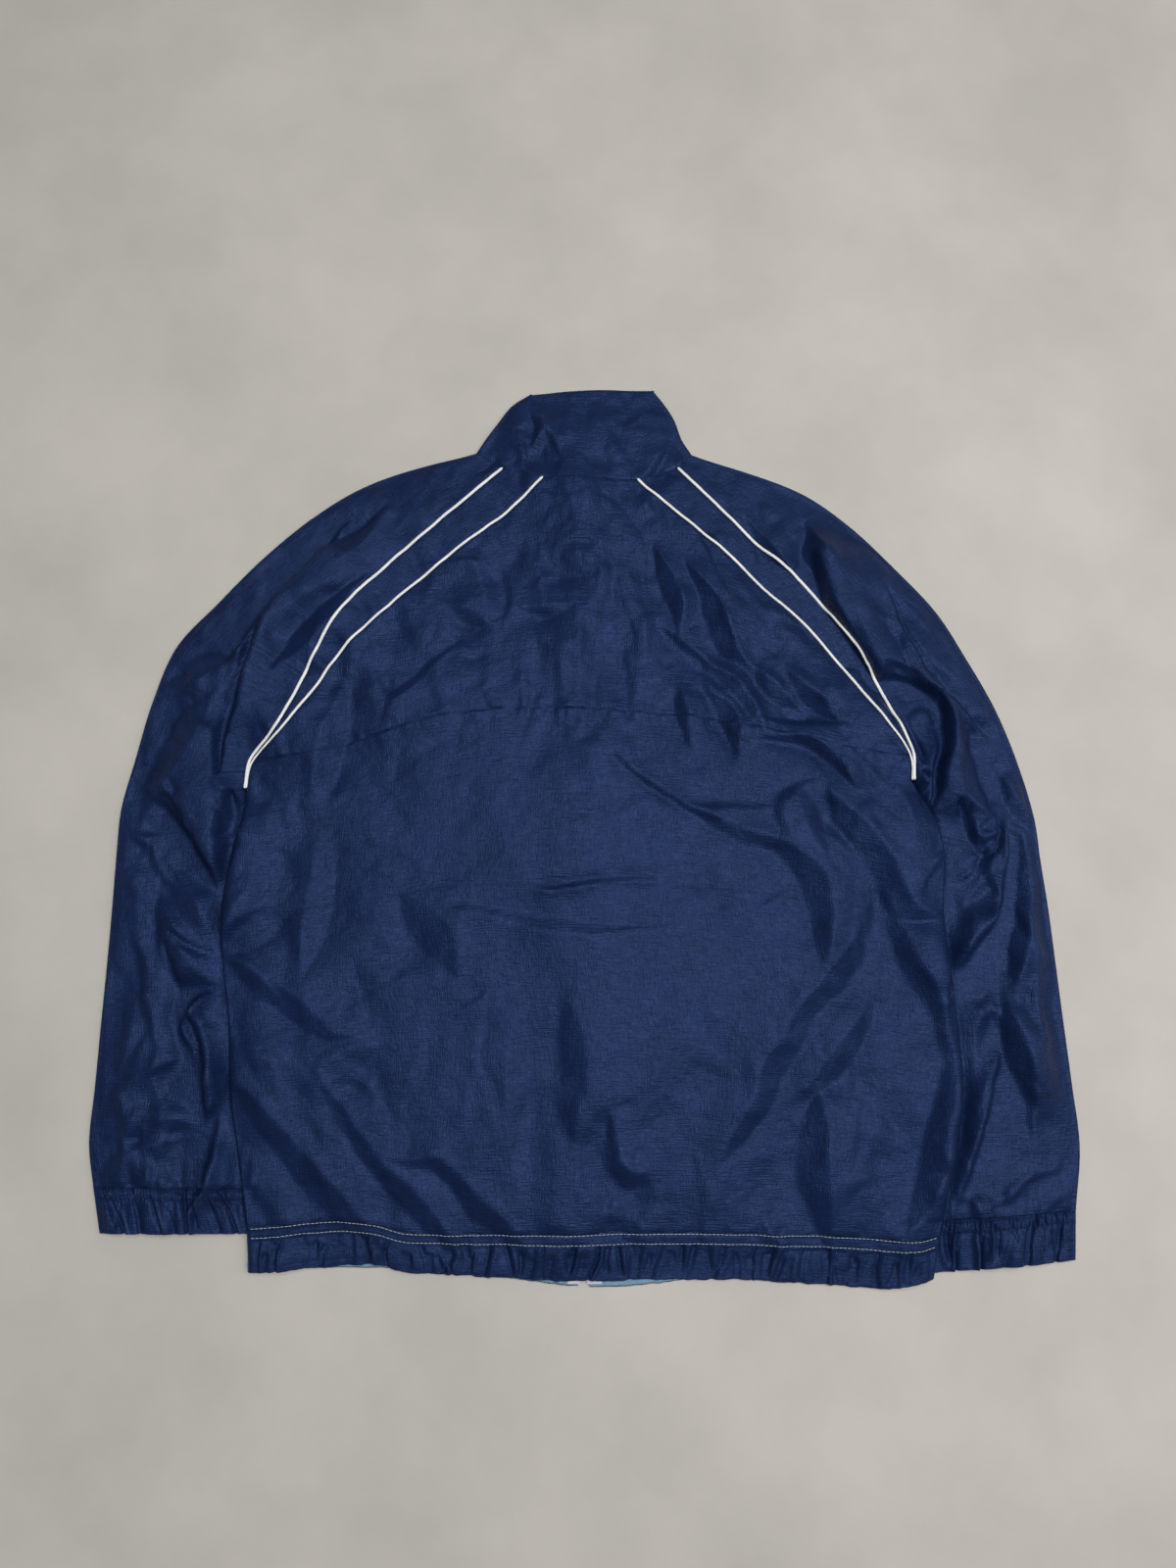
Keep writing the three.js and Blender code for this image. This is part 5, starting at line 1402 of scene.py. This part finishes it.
def hem_surface(u, v):
    """The back hem's outer face. u runs from left to right, v from its bottom edge up to its seam."""
    bottom = smooth_line(HEM_BOTTOM, u)
    bottom[:, 1] += 0.9 * noise(bottom[:, 0], bottom[:, 0] * 0, 13, 91) + 0.5 * noise(bottom[:, 0], bottom[:, 0] * 0, 5, 92)
    top = smooth_line(HEM_SEAM, u)
    plan = patch(bottom, top, straight(bottom[0], top[0], v), straight(bottom[-1], top[-1], v), u, v)
    along = np.repeat((u * 575)[None, :], len(v), axis=0)
    down = np.repeat(1 - v[:, None], len(u), axis=1)
    down_mm = down * 38
    gap = bpy.context.scene.jacket_trim.row_gap / MM
    rise = gathers(along, down_mm, 2.3, 95, 1.2, 1.0 + gap, 0.42)
    for row in (1.0, 1.0 + gap):
        rise -= 0.45 * np.exp(-((down_mm - row) / 0.8) ** 2)
    rise += pleated(along, np.clip((down_mm - gap - 2) / (36 - gap), 0, 1), HEM_PLEATS) * smoothstep(gap, gap + 4, down_mm)
    rise = np.maximum(rise + 1.1, -2.2)
    z = top_height(plan[..., 0], plan[..., 1]) + rise * smoothstep(0, 6, side_distance(plan))
    lowest = lift(plan[..., 0].ravel(), plan[..., 1].ravel()).reshape(z.shape) + 4.0
    z = np.maximum(z, lowest) - rolled(side_distance(plan))
    return with_height(plan, z)


def front_hem_bottom(x):
    near = np.exp(-((x - FRONT_HEM["middle_x"]) / FRONT_HEM["reach"]) ** 2)
    return FRONT_HEM["side"] * (1 - near) + FRONT_HEM["middle"] * near


class BuildHem(bpy.types.Operator):
    """Builds the elastic hem band of the back"""

    bl_idname = "jacket.hem"
    bl_label = "Hem band"

    def execute(self, context):
        u = steps_over(575, 1.15)
        v = np.linspace(0, 1, 30)
        grid = hem_surface(u, v)
        grid[-1, :, 1] -= 0.2
        grid = turn_under(grid, "first", 1.4, 5.0)
        band = cloth_piece("hem_band_back", grid, "hem_back", finish_of("nylon_navy"), wall=1.0)
        return {"FINISHED"}


class BuildCollar(bpy.types.Operator):
    """Builds the stand collar, folded flat at both sides"""

    bl_idname = "jacket.collar"
    bl_label = "Collar"

    def execute(self, context):
        u = steps_over(200, CLOTH_STEP * 0.8)
        v = steps_over(90, CLOTH_STEP * 0.8, False, True)
        neck = resample(neck_seam(), u)
        sides = [smooth_line(half.collar_side, v) for half in HALVES]
        top = smooth_line(COLLAR_TOP, u)
        back = draw_in(patch(neck, top, sides[0], sides[1], u, v), start=False, end=False, last=False)
        halfway = len(u) // 2
        parts = []
        for half, side in zip(HALVES, sides):
            centre_x = half.sign * ZIP_HALF_GAP
            raglan = (half.sign * NECK_RAGLAN[0], NECK_RAGLAN[1])
            w = np.linspace(0, 1, 24)
            bottom = resample(np.array([(centre_x, NECK_Y), raglan, half.collar_side[0]], float), w)
            front_top = straight((centre_x, NECK_TOP), side[-1], w)
            middle = straight((centre_x, NECK_Y), (centre_x, NECK_TOP), v)
            front = draw_in(patch(bottom, front_top, middle, side, w, v), end=False)
            above = back[:, :halfway + 1] if half.sign < 0 else back[:, halfway:][:, ::-1]
            parts.append(folded_tube(front, above, False))
        grid = np.concatenate([parts[0], parts[1][:, ::-1][:, 1:]], axis=1)
        from_top = nearest(top, grid[..., 0].ravel(), grid[..., 1].ravel())[0].reshape(grid.shape[:2])
        upper = grid[..., 2] > ROLL + 0.5
        grid[..., 2] -= np.where(upper, rolled(from_top), 0)
        collar = cloth_piece("stand_collar", grid, "collar", finish_of("nylon_navy"), wall=1.2)
        return {"FINISHED"}


class BuildFronts(bpy.types.Operator):
    """Builds the two fronts and their hems"""

    bl_idname = "jacket.fronts"
    bl_label = "Fronts"

    def execute(self, context):
        hem_y = -356.5
        for half in HALVES:
            centre = half.sign * ZIP_HALF_GAP
            raglan = front_raglan(half, np.linspace(0, ARMPIT, 60))[::-1]
            side = back_side(half, np.linspace(0, 1, 121))
            side = side[side[:, 1] <= half.armpit_y]
            # At the armpit it meets the sleeve's lower layer, further down it lies over it
            spans = np.linspace(ARMPIT, ARMPIT + 2, 60)
            under = (half.seam(spans) + sleeve_inwards(half, spans)[0])[::-1]
            meets = np.interp(side[:, 1], under[:, 1], under[:, 0]) - half.sign * 0.35
            over = smoothstep(half.armpit_y - 22, half.armpit_y - 34, side[:, 1])
            side[:, 0] = over * (side[:, 0] - half.sign * 0.9) + (1 - over) * meets
            outline = np.vstack([side, raglan[1:]])
            v = steps_over(760, 6.5, False, False)
            outer = resample(outline, v)
            middle = straight((centre, hem_y), (centre, NECK_Y), v)
            plan = draw_in(row_mix(middle, outer, steps_over(290, 6.5)), start=False, end=False)
            x, y = plan[..., 0], plan[..., 1]
            base = lift(x.ravel(), y.ravel()).reshape(x.shape)
            edge = side_distance(plan)
            from_zip = np.abs(x - centre)
            wave = 1.6 * np.maximum(0, noise(x * 0.8 + 0.2 * y, y * 0.5, 34, 81)) + 0.8 * np.maximum(0, noise(x, y, 15, 82))
            z = base + wave * smoothstep(3, 22, edge) * smoothstep(2, 14, from_zip)
            z += rolled(edge) * below_armpit(y)
            z += 0.6 * rolled(from_zip)
            front = cloth_piece(f"front_cloth_{half.name}", with_height(plan, z), f"front_{half.name}",
                                finish_of("nylon_light_blue"), flip=half.sign > 0)

            corner = half.hem_corner
            end = half.side[-1]
            u = steps_over(290, 2.2)
            w = np.linspace(0, 1, 16)
            upper = straight((centre, hem_y), end, u)
            lower_x = centre + (corner[0] - centre) * u
            ripple = 0.5 * noise(lower_x, lower_x * 0, 6, 93)
            lower = np.column_stack([lower_x, front_hem_bottom(lower_x) + ripple])
            plan = np.stack([lower * (1 - t) + upper * t for t in w])
            x, y = plan[..., 0], plan[..., 1]
            base = lift(x.ravel(), y.ravel()).reshape(x.shape)
            down = (1 - w)[:, None] * np.ones_like(x)
            along = np.abs(x)
            folds = pleated(along, down, pleat_field(290, 501 if half.sign < 0 else 601, 8.0, 0.9))
            z = base + 0.4 + np.clip(-folds, 0, 1.5) + rolled(side_distance(plan))
            grid = turn_under(with_height(plan, z), "first", -0.9, 4.0)
            hem = cloth_piece(f"hem_band_front_{half.name}", grid, f"hem_front_{half.name}",
                              finish_of("nylon_light_blue"), flip=half.sign > 0, wall=1.0)
        return {"FINISHED"}


def cord_mesh(name, centre, radii, sides=12):
    """A closed tube round a line of points. radii is its half width and half height at each point."""
    way = np.gradient(centre, axis=0)
    way /= np.linalg.norm(way, axis=1, keepdims=True)
    across = np.column_stack([-way[:, 1], way[:, 0], np.zeros(len(way))])
    across /= np.linalg.norm(across, axis=1, keepdims=True)
    up = np.cross(way, across)
    up[up[:, 2] < 0] *= -1
    count = len(centre)
    angles = np.linspace(0, 2 * np.pi, sides, endpoint=False)
    ring = (centre[:, None] + across[:, None] * (radii[:, :1, None] * np.cos(angles)[None, :, None])
            + up[:, None] * (radii[:, 1:, None] * np.sin(angles)[None, :, None]))
    points = np.concatenate([ring.reshape(-1, 3), centre[:1], centre[-1:]])
    far = lengths(centre)
    uv = np.column_stack([np.tile(angles / (2 * np.pi) * 0.01, count), np.repeat(far * MM, sides)])
    uv = np.vstack([uv, [0, 0], [0, far[-1] * MM]])
    faces = []
    for j in range(count - 1):
        for i in range(sides):
            a, b = j * sides + i, j * sides + (i + 1) % sides
            faces.append((a, b, b + sides, a + sides))
    low, high = count * sides, count * sides + 1
    for i in range(sides):
        faces.append((low, (i + 1) % sides, i))
        faces.append((high, (count - 1) * sides + i, (count - 1) * sides + (i + 1) % sides))
    mesh = bpy.data.meshes.new(name)
    mesh.from_pydata((points * MM).tolist(), [], faces)
    layer = mesh.uv_layers.new(name="cloth")
    corners = np.empty(len(mesh.loops), int)
    mesh.loops.foreach_get("vertex_index", corners)
    layer.data.foreach_set("uv", uv[corners].ravel())
    mesh.polygons.foreach_set("use_smooth", [True] * len(mesh.polygons))
    obj = bpy.data.objects.new(name, mesh)
    bpy.context.scene.collection.objects.link(obj)
    face_outwards(obj)
    return obj


def face_outwards(obj):
    """Recalculates a closed mesh's normals, in edit mode."""
    bpy.ops.object.select_all(action="DESELECT")
    bpy.context.view_layer.objects.active = obj
    obj.select_set(True)
    bpy.ops.object.mode_set(mode="EDIT")
    bpy.ops.mesh.select_all(action="SELECT")
    bpy.ops.mesh.normals_make_consistent(inside=False)
    bpy.ops.object.mode_set(mode="OBJECT")
    obj.select_set(False)


class BuildPiping(bpy.types.Operator):
    """Builds the four white pipings along the raglan seams"""

    bl_idname = "jacket.piping"
    bl_label = "Piping"

    def execute(self, context):
        trim = context.scene.jacket_trim
        for half in HALVES:
            for kind, path, width in (("outer", half.seam, trim.outer_width / MM), ("inner", half.inset, trim.inner_width / MM)):
                line = path(np.linspace(0, ARMPIT, 260))
                line = resample(line, np.linspace(0, 1, 260))
                # The two run together at the armpit
                towards = -half.sign if kind == "outer" else half.sign
                line[:, 0] += 1.3 * towards * smoothstep(0.84, 0.99, np.linspace(0, 1, 260))
                z = top_height(line[:, 0], line[:, 1], seams=False)
                kernel = np.ones(7) / 7
                z = np.convolve(np.pad(z, 3, mode="edge"), kernel, mode="valid")
                squeeze = 1 + 0.07 * noise(lengths(line), lengths(line) * 0, 5, 61 if kind == "outer" else 62)
                ends = np.minimum(lengths(line), lengths(line)[-1] - lengths(line))
                taper = np.sqrt(np.clip(ends / 1.2, 0.05, 1))
                meeting = smoothstep(0.78, 0.93, np.linspace(0, 1, 260))
                taper = taper * (1 - (0.30 if kind == "inner" else 0.12) * meeting)
                radii = np.column_stack([width / 2 * squeeze * taper, 0.36 * width * squeeze * taper])
                centre = np.column_stack([line, z + 0.55 + 0.12 * noise(lengths(line), lengths(line) * 0, 9, 63)])
                piping = cord_mesh(f"piping_{half.name}_{kind}", centre, radii)
                piping.data.materials.append(finish_of("piping_white"))
                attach(piping, GARMENT)
                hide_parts(f"piping_{kind}_{half.name}")
        return {"FINISHED"}


def stitch_row(name, line, length, gap, width):
    """A row of stitches along a line of points, each a short thread that dips at both ends."""
    far = lengths(line)
    count = int(far[-1] / (length + gap))
    sides, rings = 6, 5
    points, faces = [], []
    for k in range(count):
        start = (k + 0.5) * far[-1] / count - length / 2
        at = start + length * np.linspace(0, 1, rings)
        centre = np.column_stack([np.interp(at, far, line[:, c]) for c in range(3)])
        way = centre[-1] - centre[0]
        way /= np.linalg.norm(way)
        across = np.cross(way, (0, 0, 1))
        across /= np.linalg.norm(across)
        up = np.cross(across, way)
        up = up if up[2] > 0 else -up
        rise = np.sin(np.linspace(0, np.pi, rings)) * 0.30
        thick = np.array([0.55, 0.95, 1.0, 0.95, 0.55]) * width / 2
        first = len(points)
        for r in range(rings):
            for i in range(sides):
                a = 2 * np.pi * i / sides
                points.append(centre[r] + up * rise[r] + across * thick[r] * math.cos(a) + up * thick[r] * math.sin(a))
        for r in range(rings - 1):
            for i in range(sides):
                a, b = first + r * sides + i, first + r * sides + (i + 1) % sides
                faces.append((a, b, b + sides, a + sides))
        faces.append(tuple(first + i for i in reversed(range(sides))))
        faces.append(tuple(first + (rings - 1) * sides + i for i in range(sides)))
    mesh = bpy.data.meshes.new(name)
    mesh.from_pydata((np.array(points) * MM).tolist(), [], faces)
    mesh.polygons.foreach_set("use_smooth", [True] * len(mesh.polygons))
    obj = bpy.data.objects.new(name, mesh)
    bpy.context.scene.collection.objects.link(obj)
    face_outwards(obj)
    obj.data.materials.append(finish_of("thread"))
    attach(obj, GARMENT)
    return obj


class BuildStitching(bpy.types.Operator):
    """Sews the hem's two rows of topstitching"""

    bl_idname = "jacket.stitching"
    bl_label = "Stitching"

    def execute(self, context):
        trim = context.scene.jacket_trim
        u = np.linspace(0.006, 0.994, 900)
        for name, down in (("upper", 1.0), ("lower", 1.0 + trim.row_gap / MM)):
            share = 1 - down / 38
            row = hem_surface(u, np.array([0, share, 1]))[1]
            row[:, 1] += 0.25 * noise(row[:, 0], row[:, 0] * 0, 21, 97)
            row[:, 2] = np.convolve(np.pad(row[:, 2], 2, mode="edge"), np.ones(5) / 5, mode="valid") + 0.30
            stitch_row(f"hem_stitches_{name}", row, trim.stitch / MM, 0.55, trim.thread_width / MM)
        return {"FINISHED"}


class BuildZip(bpy.types.Operator):
    """Builds the zip's two tapes and its teeth"""

    bl_idname = "jacket.zip"
    bl_label = "Zip"

    def execute(self, context):
        settings = context.scene.jacket_zip
        low = float(front_hem_bottom(np.array(0.0))) + 2
        ys = np.linspace(low, NECK_TOP - 2, 250)
        for half in HALVES:
            xs = half.sign * np.linspace(3.0, 15.0, 7)
            x, y = np.meshgrid(xs, ys)
            z = lift(x.ravel(), y.ravel()).reshape(x.shape) + 2.15
            grid = np.stack([x, y, z], axis=2)
            tape = cloth_piece(f"tape_{half.name}", grid, f"zip_tape_{half.name}", finish_of("zip_tape"),
                               flip=half.sign > 0, wall=0.7)
        pitch = settings.pitch / MM
        count = int((ZIP_TOP - low - 4) / pitch)
        profile = np.array([(0.0, -0.55), (1.5, -0.62), (2.0, -0.95), (3.3, -0.95), (3.9, 0.0), (3.3, 0.95),
                            (2.0, 0.95), (1.5, 0.62), (0.0, 0.55)])
        points, faces = [], []
        for k in range(count):
            for sign in (-1, 1):
                y = low + 4 + pitch * (k + (0.5 if sign > 0 else 0))
                base = float(lift(np.array([0.0]), np.array([y]))[0]) + 0.55
                first = len(points)
                size = len(profile)
                for z, share in ((0, 0.86), (0.35, 1), (2.0, 1), (2.35, 0.86)):
                    for px, py in profile:
                        points.append((sign * (3.3 - px * share), y + py * share, base + z))
                for level in range(3):
                    for i in range(size):
                        a, b = first + level * size + i, first + level * size + (i + 1) % size
                        faces.append((a, b, b + size, a + size))
                faces.append(tuple(first + i for i in reversed(range(size))))
                faces.append(tuple(first + 3 * size + i for i in range(size)))
        mesh = bpy.data.meshes.new("zip_teeth")
        mesh.from_pydata((np.array(points) * MM).tolist(), [], faces)
        teeth = bpy.data.objects.new("zip_teeth", mesh)
        context.scene.collection.objects.link(teeth)
        face_outwards(teeth)
        teeth.data.materials.append(finish_of("zip_teeth"))
        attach(teeth, GARMENT)
        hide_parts("zip_chain")
        return {"FINISHED"}


def add_block(name, low, high, bevel):
    """A block between two corners, in millimetres, with rounded edges, shaped in edit mode."""
    bpy.ops.object.select_all(action="DESELECT")
    centre = [(a + b) / 2 * MM for a, b in zip(low, high)]
    bpy.ops.mesh.primitive_cube_add(size=1, location=centre)
    obj = bpy.context.active_object
    obj.name = name
    bpy.ops.object.mode_set(mode="EDIT")
    bpy.ops.transform.resize(value=[(b - a) * MM for a, b in zip(low, high)], center_override=centre)
    bpy.ops.mesh.select_all(action="SELECT")
    bpy.ops.mesh.bevel(offset=bevel * MM, segments=3, affect="EDGES")
    bpy.ops.object.mode_set(mode="OBJECT")
    return obj


def join_parts(name, parts):
    """One object of several, with its place in its mesh and its origin at the frame's."""
    bpy.ops.object.select_all(action="DESELECT")
    for part in parts:
        part.select_set(True)
    bpy.context.view_layer.objects.active = parts[0]
    bpy.ops.object.join()
    bpy.ops.object.transform_apply(location=True, rotation=True, scale=True)
    obj = bpy.context.active_object
    obj.name = name
    obj.data.name = name
    bpy.ops.object.shade_smooth_by_angle(angle=math.radians(35))
    obj.select_set(False)
    return obj


class BuildSlider(bpy.types.Operator):
    """Builds the zip's slider and its pull tab"""

    bl_idname = "jacket.slider"
    bl_label = "Slider and pull"

    def execute(self, context):
        low, high = (np.array(c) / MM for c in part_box("zip_slider"))
        plate = 1.0
        parts = [
            add_block("plate_under", (low[0], low[1], high[2] - plate), (high[0], high[1] - 1.2, high[2]), 0.32),
            add_block("post", (-1.2, high[1] - 3.0, low[2] + 1.2), (1.2, high[1] - 0.8, high[2] - 0.2), 0.3),
        ]
        lower_top = SLIDER_LIFT + 0.2
        parts.append(add_block("plate_over", (low[0], low[1], lower_top - plate), (high[0], high[1] - 1.2, lower_top), 0.32))
        bail_z = low[2]
        parts.append(add_block("bail", (-0.85, SLIDER_Y - 3.1, bail_z), (0.85, SLIDER_Y + 3.1, bail_z + 0.6), 0.2))
        for y in (SLIDER_Y - 3.1, SLIDER_Y + 2.1):
            parts.append(add_block("bail_leg", (-0.85, y, bail_z), (0.85, y + 1.0, lower_top - 0.5), 0.2))
        slider = join_parts("slider", parts)
        slider.data.materials.append(finish_of("zip_metal"))
        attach(slider, GARMENT)
        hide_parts("zip_slider")

        low, high = (np.array(c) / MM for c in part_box("zip_pull"))
        bpy.ops.object.select_all(action="DESELECT")
        bpy.ops.mesh.primitive_cylinder_add(vertices=20, radius=0.55 * MM, depth=6.8 * MM,
                                            location=(0, SLIDER_Y * MM, 1.45 * MM), rotation=(0, math.pi / 2, 0))
        bar = context.active_object
        parts = [bar]
        for x in (low[0], high[0] - 0.8):
            parts.append(add_block("arm", (x, SLIDER_Y - 6, 0.92), (x + 0.8, SLIDER_Y + 0.55, 1.98), 0.25))
        tab = add_block("tab", (low[0], low[1], 0.9), (high[0], SLIDER_Y - 4.6, 2.0), 0.35)
        bpy.ops.object.mode_set(mode="EDIT")
        bpy.ops.mesh.select_mode(type="FACE")
        bpy.ops.mesh.select_all(action="DESELECT")
        bpy.ops.object.mode_set(mode="OBJECT")
        largest = max(p.area for p in tab.data.polygons)
        for p in tab.data.polygons:
            p.select = p.area > 0.9 * largest and abs(p.normal.z) > 0.9
        bpy.ops.object.mode_set(mode="EDIT")
        bpy.ops.mesh.inset(thickness=0.7 * MM, depth=0, use_individual=True)
        bpy.ops.mesh.inset(thickness=0.15 * MM, depth=-0.18 * MM, use_individual=True)
        bpy.ops.object.mode_set(mode="OBJECT")
        parts.append(tab)
        pull = join_parts("pull_tab", parts)
        pull.data.materials.append(finish_of("zip_metal"))
        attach(pull, PULL_BODY)
        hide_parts("zip_pull")
        return {"FINISHED"}


def area_light(name, place, aim, size, power, colour):
    data = bpy.data.lights.new(name, "AREA")
    data.shape = "RECTANGLE"
    data.size, data.size_y = size
    data.energy = power
    data.color = colour
    lamp = bpy.data.objects.new(name, data)
    lamp.location = place
    lamp.rotation_euler = (Vector(aim) - Vector(place)).to_track_quat("-Z", "Y").to_euler()
    bpy.context.scene.collection.objects.link(lamp)
    return lamp


class BuildStage(bpy.types.Operator):
    """Lays the floor and sets the lights and the camera"""

    bl_idname = "jacket.stage"
    bl_label = "Stage"

    def execute(self, context):
        settings = context.scene.jacket_stage
        bpy.ops.object.select_all(action="DESELECT")
        bpy.ops.mesh.primitive_plane_add(size=8, location=(0, 0, 0))
        floor = context.active_object
        floor.name = "floor"
        material, tree, shader = fresh_material("Sealed screed floor, pale")
        # Sealed cement screed: pale, dull, with a faint cloudiness. It can't be seen from below.
        place = add_node(tree, "ShaderNodeTexCoord")
        cloud = add_node(tree, "ShaderNodeTexNoise", {"Vector": place.outputs["Object"], "Scale": 5.0, "Detail": 6.0,
                                                      "Roughness": 0.6})
        pale = tuple(settings.floor)
        dark = tuple(c * 0.86 for c in pale)
        tone = add_node(tree, "ShaderNodeMapRange", {"Value": cloud.outputs[0], "From Min": 0.35, "From Max": 0.65})
        colour = add_node(tree, "ShaderNodeMix", {0: tone.outputs[0], 6: (*dark, 1), 7: (*pale, 1)}, data_type="RGBA")
        tree.links.new(colour.outputs[2], shader.inputs["Base Color"])
        set_shader(shader, Roughness=0.6, Specular_IOR_Level=0.3)
        side = add_node(tree, "ShaderNodeNewGeometry")
        clear = add_node(tree, "ShaderNodeBsdfTransparent")
        both = add_node(tree, "ShaderNodeMixShader", {0: side.outputs["Backfacing"], 1: shader.outputs[0],
                                                      2: clear.outputs[0]})
        output = next(n for n in tree.nodes if n.type == "OUTPUT_MATERIAL")
        tree.links.new(both.outputs[0], output.inputs["Surface"])
        floor.data.materials.append(material)
        # The underside is lit through the floor, for views from below
        floor.visible_shadow = False

        area_light("strip_left", (-1.75, 0.1, 2.3), (0, 0, 0), (0.5, 3.2), 2, (1, 0.99, 0.97))
        area_light("strip_right", (1.75, 0.1, 2.3), (0, 0, 0), (0.5, 3.2), 26, (1, 0.99, 0.97))
        area_light("overhead", (0.42, 0.15, 2.5), (0, 0, 0), (1.9, 1.6), 48, (1, 1, 1))
        area_light("underside", (0, 0, -1.6), (0, 0, 0), (2.5, 2.5), 16, (1, 1, 1))
        world = bpy.data.worlds.new("Studio")
        world.use_nodes = True
        world.node_tree.nodes["Background"].inputs[0].default_value = (0.9, 0.93, 1, 1)
        world.node_tree.nodes["Background"].inputs[1].default_value = 0.14
        context.scene.world = world
        context.scene.view_settings.view_transform = "Standard"

        data = bpy.data.cameras.new("photo_camera")
        data.lens = 27
        data.sensor_width = 36
        camera = bpy.data.objects.new("photo_camera", data)
        aim = Vector((0.0036, 0.0239, 0))
        camera.location = aim + settings.distance * Vector((0, -math.sin(settings.tilt), math.cos(settings.tilt)))
        camera.rotation_euler = (settings.tilt, 0, 0)
        context.scene.collection.objects.link(camera)
        context.scene.camera = camera
        return {"FINISHED"}


STEPS = ("back", "insets", "sleeves", "cuffs", "hem", "collar", "fronts", "piping", "stitching", "zip", "slider", "stage")


class JacketPanel(bpy.types.Panel):
    """Sizes and colours of the jacket, and a button for each group of pieces"""

    bl_idname = "VIEW3D_PT_track_jacket"
    bl_label = "Track jacket"
    bl_space_type = "VIEW_3D"
    bl_region_type = "UI"
    bl_category = "Track jacket"

    def draw(self, context):
        for group in ("jacket_cloth", "jacket_trim", "jacket_zip", "jacket_stage"):
            box = self.layout.box()
            settings = getattr(context.scene, group)
            for name in settings.bl_rna.properties.keys():
                if name not in ("rna_type", "name"):
                    box.prop(settings, name)
        for step in STEPS:
            self.layout.operator(f"jacket.{step}")


CLASSES = (
    ClothSettings, TrimSettings, ZipSettings, StageSettings, BuildBack, BuildInsets, BuildSleeves, BuildCuffs,
    BuildHem, BuildCollar, BuildFronts, BuildPiping, BuildStitching, BuildZip, BuildSlider, BuildStage, JacketPanel,
)
SETTINGS = {
    "jacket_cloth": ClothSettings, "jacket_trim": TrimSettings, "jacket_zip": ZipSettings, "jacket_stage": StageSettings,
}


def register():
    for cls in CLASSES:
        bpy.utils.register_class(cls)
    for name, group in SETTINGS.items():
        setattr(bpy.types.Scene, name, bpy.props.PointerProperty(type=group))


def unregister():
    for name in SETTINGS:
        delattr(bpy.types.Scene, name)
    for cls in reversed(CLASSES):
        bpy.utils.unregister_class(cls)


def main():
    register()
    for step in STEPS:
        getattr(bpy.ops.jacket, step)()


if __name__ == "__main__":
    main()
